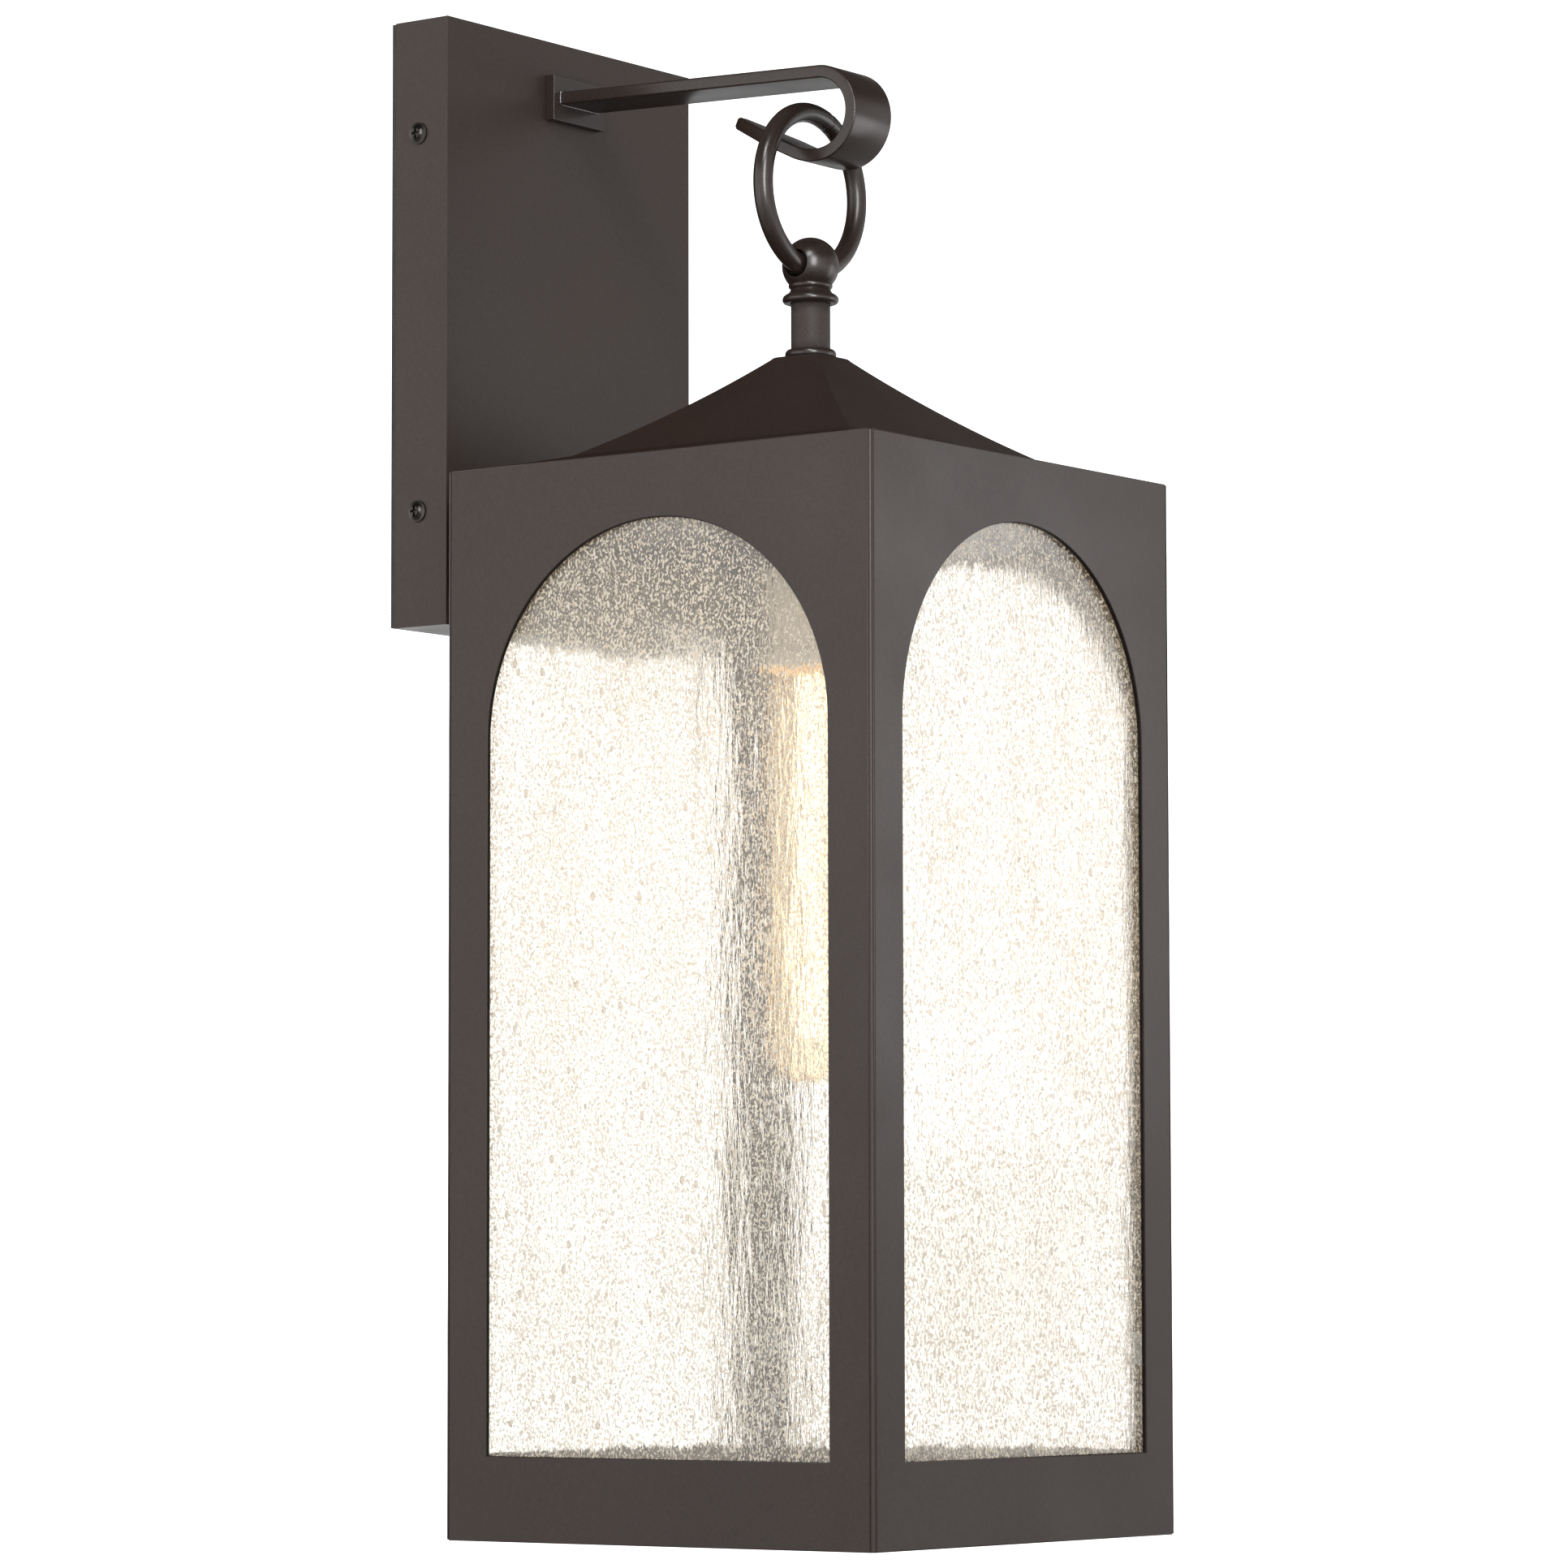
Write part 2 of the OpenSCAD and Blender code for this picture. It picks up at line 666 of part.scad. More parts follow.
// A smooth line through hand-placed points (Catmull-Rom), with n steps to each stretch
function smooth(p, n) = concat(
    [for (i = [0:len(p) - 2], s = [0:n - 1])
        let (
            a = p[max(i - 1, 0)], b = p[i], c = p[i + 1], d = p[min(i + 2, len(p) - 1)],
            t = s / n
        )
        0.5 * (2 * b + (c - a) * t + (2 * a - 5 * b + 4 * c - d) * t * t
            + (3 * b - a - 3 * c + d) * t * t * t)],
    [p[len(p) - 1]]
);
module lead(route, r) {
    sides = 8;
    pts = smooth(route, 4);
    n = len(pts);
    polyhedron(
        points = [for (i = [0:n - 1]) each lead_ring(pts, i, r, sides)],
        faces = concat(
            [[for (k = [sides - 1:-1:0]) k]],
            [for (i = [0:n - 2], k = [0:sides - 1])
                let (a = i * sides, b = (k + 1) % sides)
                [a + k, a + b, a + sides + b, a + sides + k]],
            [[for (k = [0:sides - 1]) (n - 1) * sides + k]]
        )
    );
}

// Route from a connector, through the feed nipple and the grommet, to a terminal of the socket
terminal_x = 7;
terminal_y = 12;
function lead_route(from_x, lane) = [
    [from_x, connector_y, connector_z + 6],
    [from_x, connector_y, connector_z - 8],
    [from_x * 0.7, -15, -24],
    [from_x * 0.25, -14, -42],
    [lane * 2.8, -14, feed_z + 16],
    [lane * 1.7, -15, feed_z + 7],
    [lane * 1.5, -20, feed_z],
    [lane * 1.5, -32, feed_z - 1],
    [lane * 1.5, feed_y1 - 2, feed_z - 1],
    [lane * 2, axis_y + grommet_y + 12, feed_z - 1.5],
    [lane * 1.7, axis_y + grommet_y + 1, deck_z + 6],
    [lane * 1.7, axis_y + grommet_y - 0.5, deck_z - 3],
    [lane * 4.6, axis_y + grommet_y - 6, socket_top + 4],
    [lane * terminal_x, axis_y + terminal_y, socket_top + 2],
    [lane * terminal_x, axis_y + terminal_y, socket_top - 4]
];
module live_lead() { color([0.08, 0.08, 0.08]) lead(lead_route(connector_x[0], -1), lead_r); }
module neutral_lead() { color([0.9, 0.9, 0.88]) lead(lead_route(connector_x[2], 1), lead_r); }

// The lantern's earth lead ends at the locknut on the deck
module earth_lead() {
    color([0.72, 0.42, 0.2]) lead([
        [0, connector_y, connector_z + 6],
        [0, connector_y, connector_z - 8],
        [0, -17.5, -26],
        [0, -18.6, feed_z + 16],
        [0, -18.6, feed_z + 8],
        [0, -19.3, feed_z + 4.4],
        [0, -22, feed_z + 2.9],
        [0, -34, feed_z + 2.4],
        [0, feed_y1 - 2, feed_z + 2.6],
        [3, axis_y + 66, feed_z + 4],
        [8, axis_y + 44, feed_z],
        [10, axis_y + 28, deck_z + 6],
        [10, axis_y + 18, deck_z + deck_t + 1.2],
        [7.5, axis_y + 10, deck_z + deck_t + 1.2]
    ], 0.9);
}

// Lamp holder
module socket_cap() {
    low_r = 10.5;
    top_r = 7;
    bulge = 1.6;
    bore = 4.2;
    color([0.5, 0.4, 0.22]) on_axis(socket_top) difference() {
        rotate_extrude() polygon(concat(
            [[0, 0]], arc([low_r, 0], [top_r, cap_h], -bulge, 8), [[0, cap_h]]
        ));
        translate([0, 0, cap_h - bore]) cylinder(r = nipple_r + thread_gap, h = bore + cut);
    }
}

module socket_body() {
    height = socket_top - socket_low;
    lip = 6;
    waist_r = socket_r - 1.5;
    waist_top = 20;
    wire_depth = 5;
    color([0.86, 0.83, 0.76]) on_axis(socket_low) difference() {
        union() {
            cylinder(r = waist_r, h = height);
            cylinder(r = socket_r, h = lip);
            translate([0, 0, waist_top]) cylinder(r = socket_r, h = height - waist_top);
        }
        translate([0, 0, -cut]) cylinder(r = shell_in_r + shell_t + 0.3, h = cavity_h + cut);
        for (s = [-1, 1]) translate([s * terminal_x, terminal_y, height - wire_depth])
            cylinder(r = lead_r + 0.3, h = wire_depth + cut);
    }
}

module socket_shell() {
    set_back = 3;
    end_hole_r = 9;
    color([0.78, 0.66, 0.36]) on_axis(socket_low) union() {
        translate([0, 0, set_back]) tube(shell_in_r + shell_t, shell_in_r, cavity_h - set_back);
        translate([0, 0, cavity_h - shell_t]) tube(shell_in_r + shell_t / 2, end_hole_r, shell_t);
    }
}

module socket_contact() {
    low = base_top + contact_h + run;
    color([0.78, 0.66, 0.36]) on_axis(low) cylinder(r = contact_r, h = socket_low + cavity_h - low);
}

module hanging_ring() {
    color(bronze) on_axis(ring_z) rotate([90, 0, 0])
        rotate_extrude($fn = 96) translate([ring_d / 2, 0]) circle(d = wire_d, $fn = 48);
}

// Half outline of the bulb's glass, from its neck down to its closed end
wall_t = 0.9;
function bulb_outline(r, neck, low) = concat(
    arc([neck, neck_z], [r, neck_z - 16], 0.8, 8),
    arc([r, low + r * 0.8], [0, low], r * 0.24, 12)
);
module bulb_glass() {
    inner = bulb_outline(bulb_r - wall_t, neck_r - wall_t, bulb_low + wall_t);
    color([1, 0.86, 0.62, 0.4]) on_axis() rotate_extrude($fn = 64) polygon(concat(
        bulb_outline(bulb_r, neck_r, bulb_low),
        reverse_list(inner)
    ));
}

// Screw base with rounded thread ridges, open below for the glass stem
module bulb_base() {
    turns = 4;
    steps = 8;
    depth = 1;
    first = neck_z + 3;
    lip_r = neck_r + fit;
    inside_r = 12;
    end_r = 7;
    metal = 0.6;
    wave = [for (i = [0:turns * steps])
        [base_r - depth / 2 * (1 - cos(360 * i / steps)), first + thread_pitch * i / steps]];
    color([0.8, 0.7, 0.42]) on_axis() rotate_extrude() polygon(concat(
        [[lip_r, neck_z + fit], [base_r, neck_z + fit]],
        wave,
        [[base_r - metal, base_top - 1], [end_r, base_top], [end_r, base_top - metal],
         [inside_r, base_top - 3 * metal], [inside_r, first]]
    ));
}

module bulb_contact() {
    disc_r = 6.8;
    disc_t = 0.9;
    disc_low = -0.6;
    color([0.72, 0.72, 0.7]) on_axis(base_top) union() {
        translate([0, 0, disc_low]) cylinder(r = disc_r, h = disc_t);
        cylinder(r = contact_r - run, h = contact_h);
    }
}

// Glass mount inside the bulb, with its crown of support wires
filament_top = socket_low - 2.5;
filament_low = bulb_low + 16;
filament_ring = 3.2;
filament_r = 0.9;
module bulb_stem() {
    flare_low = filament_top + 2;
    flare_r = 3;
    rod_low = filament_low + 1;
    rod_r = 1.3;
    color([0.95, 0.9, 0.8, 0.5]) on_axis() union() {
        translate([0, 0, flare_low])
            cylinder(r1 = flare_r, r2 = neck_r - wall_t - fit, h = neck_z - flare_low);
        translate([0, 0, rod_low]) cylinder(r = rod_r, h = flare_low + 1 - rod_low);
    }
}

module bulb_filaments() {
    color([1, 0.72, 0.3]) on_axis() for (k = [0:3]) rotate([0, 0, 90 * k + 45])
        translate([filament_ring, 0, filament_low])
            cylinder(r = filament_r, h = filament_top - filament_low);
}

backplate();
mounting_bracket();
wall_gasket();
side_screws();
ground_screw();
wire_connectors();
arm_flange();
hook_arm();
arm_screws();
feed_nipple();
feed_sleeve();
feed_locknuts();
spacer_sleeves();
spacer_bolts();
spacer_nuts();
front_panel();
back_panel();
left_panel();
right_panel();
bottom_frame();
top_deck();
roof();
front_glass();
back_glass();
left_glass();
right_glass();
glass_tabs();
roof_collar();
stem_tube();
eye_knob();
stem_nipple();
stem_locknuts();
deck_grommet();
live_lead();
neutral_lead();
earth_lead();
socket_cap();
socket_body();
socket_shell();
socket_contact();
hanging_ring();
bulb_glass();
bulb_base();
bulb_contact();
bulb_stem();
bulb_filaments();
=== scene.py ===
import json
import math
import bpy
from mathutils import Matrix, Vector, noise


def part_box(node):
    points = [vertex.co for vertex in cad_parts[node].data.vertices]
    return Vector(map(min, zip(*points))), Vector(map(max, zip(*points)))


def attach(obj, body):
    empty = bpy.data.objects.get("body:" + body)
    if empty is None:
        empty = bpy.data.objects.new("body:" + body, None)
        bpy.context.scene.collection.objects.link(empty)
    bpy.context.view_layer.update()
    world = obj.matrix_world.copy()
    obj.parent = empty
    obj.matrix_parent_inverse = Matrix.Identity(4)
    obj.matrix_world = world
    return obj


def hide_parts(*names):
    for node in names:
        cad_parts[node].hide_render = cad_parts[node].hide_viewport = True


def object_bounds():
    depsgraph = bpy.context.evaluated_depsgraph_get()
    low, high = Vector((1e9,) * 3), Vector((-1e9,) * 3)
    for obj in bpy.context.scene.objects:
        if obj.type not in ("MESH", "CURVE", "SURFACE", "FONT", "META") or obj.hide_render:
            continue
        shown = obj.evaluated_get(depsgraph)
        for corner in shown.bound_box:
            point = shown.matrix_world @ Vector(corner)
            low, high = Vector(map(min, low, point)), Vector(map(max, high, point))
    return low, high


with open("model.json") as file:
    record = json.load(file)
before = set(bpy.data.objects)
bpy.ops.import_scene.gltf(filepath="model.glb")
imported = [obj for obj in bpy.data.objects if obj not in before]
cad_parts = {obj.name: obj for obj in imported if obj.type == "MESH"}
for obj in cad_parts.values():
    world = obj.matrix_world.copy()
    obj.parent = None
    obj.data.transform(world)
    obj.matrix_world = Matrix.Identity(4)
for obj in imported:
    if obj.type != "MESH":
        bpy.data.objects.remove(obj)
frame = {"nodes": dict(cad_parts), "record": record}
NODES = frame["nodes"]
CAD_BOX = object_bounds()
MM = 0.001

# Places that everything below is measured from
LOW, HIGH = (Vector(c) for c in CAD_BOX)
CENTRE = (LOW + HIGH) / 2
ROOF_LOW, ROOF_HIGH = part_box("roof")
AXIS = Vector(((ROOF_LOW.x + ROOF_HIGH.x) / 2, (ROOF_LOW.y + ROOF_HIGH.y) / 2, 0))
BODY_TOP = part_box("front_panel")[1].z
BODY_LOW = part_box("front_panel")[0].z
FLANGE_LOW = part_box("arm_flange")[0]
RING_LOW, RING_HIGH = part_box("hanging_ring")
ARM_LOW, ARM_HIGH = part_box("hook_arm")
KNOB_LOW, KNOB_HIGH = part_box("eye_knob")


# ---------------------------------------------------------------- node helpers
class Nodes:
    """A short way to write a material's node tree."""

    def __init__(self, name):
        self.mat = bpy.data.materials.new(name)
        self.mat.use_nodes = True
        self.tree = self.mat.node_tree
        self.tree.nodes.clear()
        self.out = self.tree.nodes.new("ShaderNodeOutputMaterial")

    def add(self, kind, **values):
        node = self.tree.nodes.new("ShaderNode" + kind)
        for key, value in values.items():
            if hasattr(node, key):
                setattr(node, key, value)
            else:
                self.put(node, key.replace("_", " "), value)
        return node

    def put(self, node, socket, value):
        sock = node.inputs[socket]
        if isinstance(value, bpy.types.NodeSocket):
            self.tree.links.new(value, sock)
        else:
            sock.default_value = value

    def place(self, scale=(1, 1, 1)):
        coords = self.add("TexCoord").outputs["Object"]
        mapping = self.add("Mapping", Vector=coords, Scale=scale)
        return mapping.outputs["Vector"]

    def noise(self, where, scale, detail=3.0, rough=0.5):
        node = self.add("TexNoise", Vector=where, Scale=scale, Detail=detail, Roughness=rough)
        return node.outputs["Fac"]

    def fit(self, value, low, high, to_low, to_high, smooth=False):
        node = self.add("MapRange", clamp=True)
        if smooth:
            node.interpolation_type = "SMOOTHSTEP"
        sockets = ("Value", "From Min", "From Max", "To Min", "To Max")
        for key, v in zip(sockets, (value, low, high, to_low, to_high)):
            self.put(node, key, v)
        return node.outputs["Result"]

    def math(self, operation, a, b=0.0):
        node = self.add("Math")
        node.operation = operation
        self.put(node, 0, a)
        self.put(node, 1, b)
        return node.outputs[0]

    def mix(self, factor, a, b):
        node = self.add("Mix")
        node.data_type = "RGBA"
        self.put(node, 0, factor)
        self.put(node, 6, (*a, 1) if isinstance(a, tuple) else a)
        self.put(node, 7, (*b, 1) if isinstance(b, tuple) else b)
        return node.outputs[2]

    def bump(self, height, depth, strength=1.0, normal=None):
        node = self.add("Bump", Height=height, Distance=depth, Strength=strength)
        if normal is not None:
            self.put(node, "Normal", normal)
        return node.outputs["Normal"]

    def surface(self, shader):
        self.tree.links.new(shader.outputs[0], self.out.inputs["Surface"])
        return self.mat


# ---------------------------------------------------------------- materials
def paint_material(name, tone, warm, rough, grain=1.0, gloss=0.30, grazing=None):
    """Satin baked enamel: two close tones, a fine orange peel, and roughness that drifts a little.

    With grazing set, the paint turns matt where it is seen edge on.
    """
    n = Nodes(name)
    where = n.place()
    clouds = n.noise(where, 9, 2)
    fine = n.noise(where, 900, 2)
    colour = n.mix(n.fit(clouds, 0.35, 0.65, 0, 1), tone, warm)
    colour = n.mix(n.fit(fine, 0.3, 0.8, 0, 0.28), colour, tuple(min(1, c * 1.9 + 0.004) for c in warm))
    roughness = n.fit(n.noise(where, 26, 3), 0.3, 0.7, rough - 0.035, rough + 0.045)
    peel = n.bump(n.noise(where, 620, 2), 0.00006 * grain, 0.35)
    waves = n.bump(n.noise(where, 42, 1), 0.0004 * grain, 0.12, peel)
    shader = n.add("BsdfPrincipled", Base_Color=colour, Roughness=roughness, Normal=waves, IOR=1.5)
    shader.inputs["Specular IOR Level"].default_value = gloss
    if grazing:
        facing = n.add("LayerWeight", Blend=0.5).outputs["Facing"]
        dull = n.add("BsdfDiffuse", Color=colour)
        blend = n.add("MixShader")
        n.put(blend, 0, n.fit(facing, 0.45, 0.9, 0.0, grazing))
        n.put(blend, 1, shader.outputs[0])
        n.put(blend, 2, dull.outputs[0])
        shader = blend
    return n.surface(shader)


def metal_material(name, tone, dull, rough, scratch=(500, 500, 40), metallic=1.0):
    """Plated or bare metal with fine scratches, duller in places."""
    n = Nodes(name)
    scratches = n.noise(n.place(scratch), 2.4, 3)
    stain = n.noise(n.place(), 130, 4)
    colour = n.mix(n.fit(stain, 0.35, 0.7, 0, 1), tone, dull)
    roughness = n.fit(stain, 0.3, 0.7, rough - 0.06, rough + 0.12)
    normal = n.bump(scratches, 0.00005, 0.3)
    shader = n.add("BsdfPrincipled", Base_Color=colour, Roughness=roughness, Normal=normal)
    n.put(shader, "Metallic", metallic)
    return n.surface(shader)


def plain_material(name, tone, other, rough, scale=300, depth=0.00008, ior=1.47):
    """Rubber, plastic, ceramic or wire insulation: mottled at its own scale, with a fine bump."""
    n = Nodes(name)
    where = n.place()
    mottle = n.noise(where, scale, 4)
    colour = n.mix(n.fit(mottle, 0.3, 0.7, 0, 1), tone, other)
    roughness = n.fit(n.noise(where, scale * 0.3, 2), 0.3, 0.7, rough - 0.05, rough + 0.08)
    normal = n.bump(n.noise(where, scale * 3, 3), depth, 0.4)
    return n.surface(n.add("BsdfPrincipled", Base_Color=colour, Roughness=roughness, Normal=normal, IOR=ior))


def seeded_glass_material():
    """Clear drawn glass with fine upright cords, full of small pale seeds that scatter light both ways; the
    seeds also carry a faint warm painted glow that stands in for the bulb's light caught in them.
    """
    n = Nodes("seeded_glass")

    def seeds(scale, stretch, radius, share, soft=0.4):
        cells = n.add("TexVoronoi", Vector=n.place((1, 1, stretch)), Scale=scale)
        chance = n.add("SeparateColor", Color=cells.outputs["Color"]).outputs[0]
        size = n.fit(chance, 1 - share, 1, 0, radius)
        return n.fit(n.math("SUBTRACT", size, cells.outputs["Distance"]), 0, radius * soft, 0, 1, True)

    patches = n.fit(n.noise(n.place((1, 1, 0.3)), 40, 3, 0.6), 0.30, 0.70, 0.03, -0.03)
    grain = n.math("SUBTRACT", n.noise(n.place((1, 1, 0.7)), 1120, 1), patches)
    grain = n.fit(grain, 0.586, 0.614, 0, 1, True)
    small = seeds(480, 0.7, 0.24, 0.55)
    large = seeds(200, 0.62, 0.20, 0.30, 0.2)
    cords = n.noise(n.place((1, 1, 0.22)), 620, 2, 0.6)
    swell = n.noise(n.place((1, 1, 0.3)), 70, 2)
    normal = n.bump(swell, 0.0012, 0.35)
    normal = n.bump(cords, 0.0003, 0.45, normal)
    normal = n.bump(small, 0.0004, 0.4, normal)
    normal = n.bump(large, 0.0010, 0.5, normal)
    bubbles = n.math("MAXIMUM", n.math("MULTIPLY", small, 0.9), n.math("MULTIPLY", large, 0.85))
    seed = n.math("MAXIMUM", n.math("MULTIPLY", grain, 0.95), bubbles)
    veil = n.fit(seed, 0, 1, 0.04, 0.95)
    tint = (0.970, 0.958, 0.930, 1)
    clear = n.add("BsdfPrincipled", Base_Color=tint, Roughness=0.02, IOR=1.5, Normal=normal)
    clear.inputs["Transmission Weight"].default_value = 1.0
    clear.inputs["Specular IOR Level"].default_value = 0.28
    pale = n.mix(n.noise(n.place(), 300, 2), (0.95, 0.91, 0.84), (0.91, 0.87, 0.79))
    front = n.add("BsdfDiffuse", Color=pale)
    back = n.add("BsdfTranslucent", Color=pale)
    spread = n.add("MixShader", Fac=0.5)
    n.put(spread, 1, front.outputs[0])
    n.put(spread, 2, back.outputs[0])
    # Painted glow: a faint warm emission in the seeds, standing in for the bulb's light scattered in them
    painted_seed_glow = n.add("Emission", Color=(1.0, 0.72, 0.38, 1), Strength=0.11)
    scatter = n.add("AddShader")
    n.put(scatter, 0, spread.outputs[0])
    n.put(scatter, 1, painted_seed_glow.outputs[0])
    both = n.add("MixShader")
    n.put(both, 0, veil)
    n.put(both, 1, clear.outputs[0])
    n.put(both, 2, scatter.outputs[0])
    return n.surface(both)


def thin_glass_material(name, tint, rough, amber=None, glow=0.0):
    """Blown lamp glass, thin enough to let the light straight through; with glow set, it also shines with a
    warm painted glow that stands in for the filament's light in the glass.
    """
    n = Nodes(name)
    ripples = n.bump(n.noise(n.place((1, 1, 0.3)), 60, 2), 0.0006, 0.4)
    tone = n.mix(n.fit(n.noise(n.place(), 20, 2), 0.3, 0.7, 0, 1), tint, amber or tint)
    gloss = n.add("BsdfGlossy", Roughness=rough, Normal=ripples)
    edge = n.add("LayerWeight", Blend=0.24, Normal=ripples)
    rim = n.add("LayerWeight", Blend=0.5).outputs["Facing"]
    tone = n.mix(n.fit(rim, 0.55, 1.0, 0, 1, True), tone, (0.70, 0.56, 0.40))
    clear = n.add("BsdfTransparent", Color=tone)
    mixed = n.add("MixShader")
    n.put(mixed, 0, n.fit(edge.outputs["Fresnel"], 0, 1, 0.01, 0.12))
    n.put(mixed, 1, clear.outputs[0])
    n.put(mixed, 2, gloss.outputs[0])
    if not glow:
        return n.surface(mixed)
    # Painted glow: the glass itself emits a warm light, standing in for the filament's light in the envelope
    painted_glass_glow = n.add("Emission", Color=(1.0, 0.80, 0.56, 1), Strength=glow)
    lit = n.add("AddShader")
    n.put(lit, 0, mixed.outputs[0])
    n.put(lit, 1, painted_glass_glow.outputs[0])
    return n.surface(lit)


def filament_material():
    """Incandescent carbon-style filament, a little hotter in the middle of each run."""
    n = Nodes("glowing_filament")
    heat = n.noise(n.place((1, 1, 0.4)), 90, 2)
    colour = n.mix(n.fit(heat, 0.3, 0.7, 0, 1), (1.0, 0.78, 0.54), (1.0, 0.87, 0.66))
    shader = n.add("BsdfPrincipled", Base_Color=(0.4, 0.2, 0.08, 1), Roughness=0.6)
    n.put(shader, "Emission Color", colour)
    shader.inputs["Emission Strength"].default_value = 3.2
    return n.surface(shader)


BRONZE = (0.0285, 0.0190, 0.0160)
BRONZE_WARM = (0.0335, 0.0212, 0.0168)
GLOSS_DARK, GLOSS_WARM = (0.021, 0.0145, 0.0125), (0.028, 0.0172, 0.0132)
# Painted light: a lighter copy of the bronze paint for the stem, standing in for the light that falls on it
STEM_LIT_TONE, STEM_LIT_WARM = (0.050, 0.0405, 0.0375), (0.054, 0.043, 0.039)
# Near-black painted shade for the window reveals, standing in for the shadow in the gap around the glass
REVEAL_SHADE_DARK, REVEAL_SHADE_WARM = (0.006, 0.0042, 0.0036), (0.009, 0.006, 0.005)
WELD_DARK = (0.016, 0.011, 0.0095)
RUBBER_DARK, RUBBER_PALE = (0.018, 0.018, 0.018), (0.032, 0.031, 0.03)
SLEEVE_DARK, SLEEVE_PALE = (0.015, 0.015, 0.015), (0.03, 0.03, 0.03)
SCREW_TONE, SCREW_DULL = (0.060, 0.054, 0.050), (0.032, 0.029, 0.027)

# Keys are the record's slots, and five more looks of the same paint: glossier on the small forged and
# turned pieces, duller on the roof, duller and lighter on the stem (the lighter tone is painted light), wet
# on the weld, and a near-black painted shade on the cut window edges
MATERIALS = {
    "bronze_paint": paint_material("bronze_paint", BRONZE, BRONZE_WARM, 0.36),
    "bronze_gloss": paint_material("bronze_gloss", GLOSS_DARK, GLOSS_WARM, 0.25, 0.3, 0.44, 0.80),
    "bronze_roof": paint_material("bronze_roof", BRONZE, BRONZE_WARM, 0.42, 1.0, 0.22, 0.85),
    "bronze_weld": paint_material("bronze_weld", WELD_DARK, BRONZE, 0.13, 0.6, 1.0),
    "bronze_stem_lit": paint_material("bronze_stem_lit", STEM_LIT_TONE, STEM_LIT_WARM, 0.55, 1.0, 0.14),
    "bronze_reveal_shade": paint_material("bronze_reveal_shade", REVEAL_SHADE_DARK, REVEAL_SHADE_WARM, 0.5, 1.0, 0.12),
    "blackened_screw": metal_material("blackened_screw", SCREW_TONE, SCREW_DULL, 0.27),
    "zinc_steel": metal_material("zinc_steel", (0.62, 0.62, 0.60), (0.42, 0.43, 0.42), 0.36),
    "black_rubber": plain_material("black_rubber", RUBBER_DARK, RUBBER_PALE, 0.72, 240, 0.00015),
    "green_screw": metal_material("green_screw", (0.05, 0.28, 0.11), (0.03, 0.17, 0.07), 0.38, metallic=0.6),
    "orange_plastic": plain_material("orange_plastic", (0.80, 0.26, 0.03), (0.68, 0.20, 0.02), 0.42, 160),
    "black_insulation": plain_material("black_insulation", SLEEVE_DARK, SLEEVE_PALE, 0.5, 420),
    "white_insulation": plain_material("white_insulation", (0.78, 0.77, 0.74), (0.66, 0.65, 0.61), 0.5, 420),
    "bare_copper": metal_material("bare_copper", (0.80, 0.40, 0.22), (0.48, 0.22, 0.12), 0.34),
    "seeded_glass": seeded_glass_material(),
    "brass_fitting": metal_material("brass_fitting", (0.72, 0.52, 0.22), (0.48, 0.33, 0.13), 0.3),
    "porcelain": plain_material("porcelain", (0.86, 0.78, 0.63), (0.80, 0.70, 0.54), 0.16, 90, 0.00004, 1.55),
    # The bulb glass carries a painted glow
    "bulb_glass": thin_glass_material("bulb_glass", (0.99, 0.93, 0.82), 0.03, (0.99, 0.95, 0.88), glow=0.09),
    "stem_glass": thin_glass_material("stem_glass", (0.93, 0.94, 0.92), 0.08),
    "contact_metal": metal_material("contact_metal", (0.70, 0.70, 0.68), (0.5, 0.5, 0.48), 0.28),
    "glowing_filament": filament_material(),
}


# ---------------------------------------------------------------- CAD nodes that stay
def soften(obj, width):
    """Weld the imported corners, join flat triangles, and round every real edge."""
    weld = obj.modifiers.new("weld", "WELD")
    weld.merge_threshold = 2e-6
    flat = obj.modifiers.new("flat", "DECIMATE")
    flat.decimate_type = "DISSOLVE"
    flat.angle_limit = math.radians(0.6)
    if width:
        bevel = obj.modifiers.new("round", "BEVEL")
        bevel.width = width
        bevel.segments = 3
        bevel.limit_method = "ANGLE"
        bevel.angle_limit = math.radians(32)
        bevel.use_clamp_overlap = True
        bevel.harden_normals = False
    for poly in obj.data.polygons:
        poly.use_smooth = True
    smooth = obj.modifiers.new("even", "WEIGHTED_NORMAL")
    smooth.keep_sharp = True


# How far the edges of the CAD nodes that stay are rounded, in millimetres
EDGE_WIDTH = {
    "backplate": 1.6, "arm_flange": 0.45, "mounting_bracket": 0.3, "wall_gasket": 0.3,
    "bottom_frame": 0.3, "top_deck": 0.25, "glass_tabs": 0.15, "deck_grommet": 0.25, "stem_locknuts": 0.3,
    "side_screws": 0.12, "arm_screws": 0.12, "ground_screw": 0.2, "wire_connectors": 0.3,
    "feed_sleeve": 0.4, "feed_locknuts": 0.3,
    "spacer_sleeves": 0.4, "spacer_bolts": 0.25, "spacer_nuts": 0.25,
    "socket_cap": 0.3, "socket_body": 0.5, "bulb_base": 0.1, "bulb_contact": 0.2,
}

slot_of = {part["node"]: part["material_slot"] for part in frame["record"]["subparts"]}

for name, obj in NODES.items():
    obj.data.materials.clear()
    obj.data.materials.append(MATERIALS["bronze_gloss" if name == "arm_flange" else slot_of[name]])
    soften(obj, EDGE_WIDTH.get(name, 0) * MM)


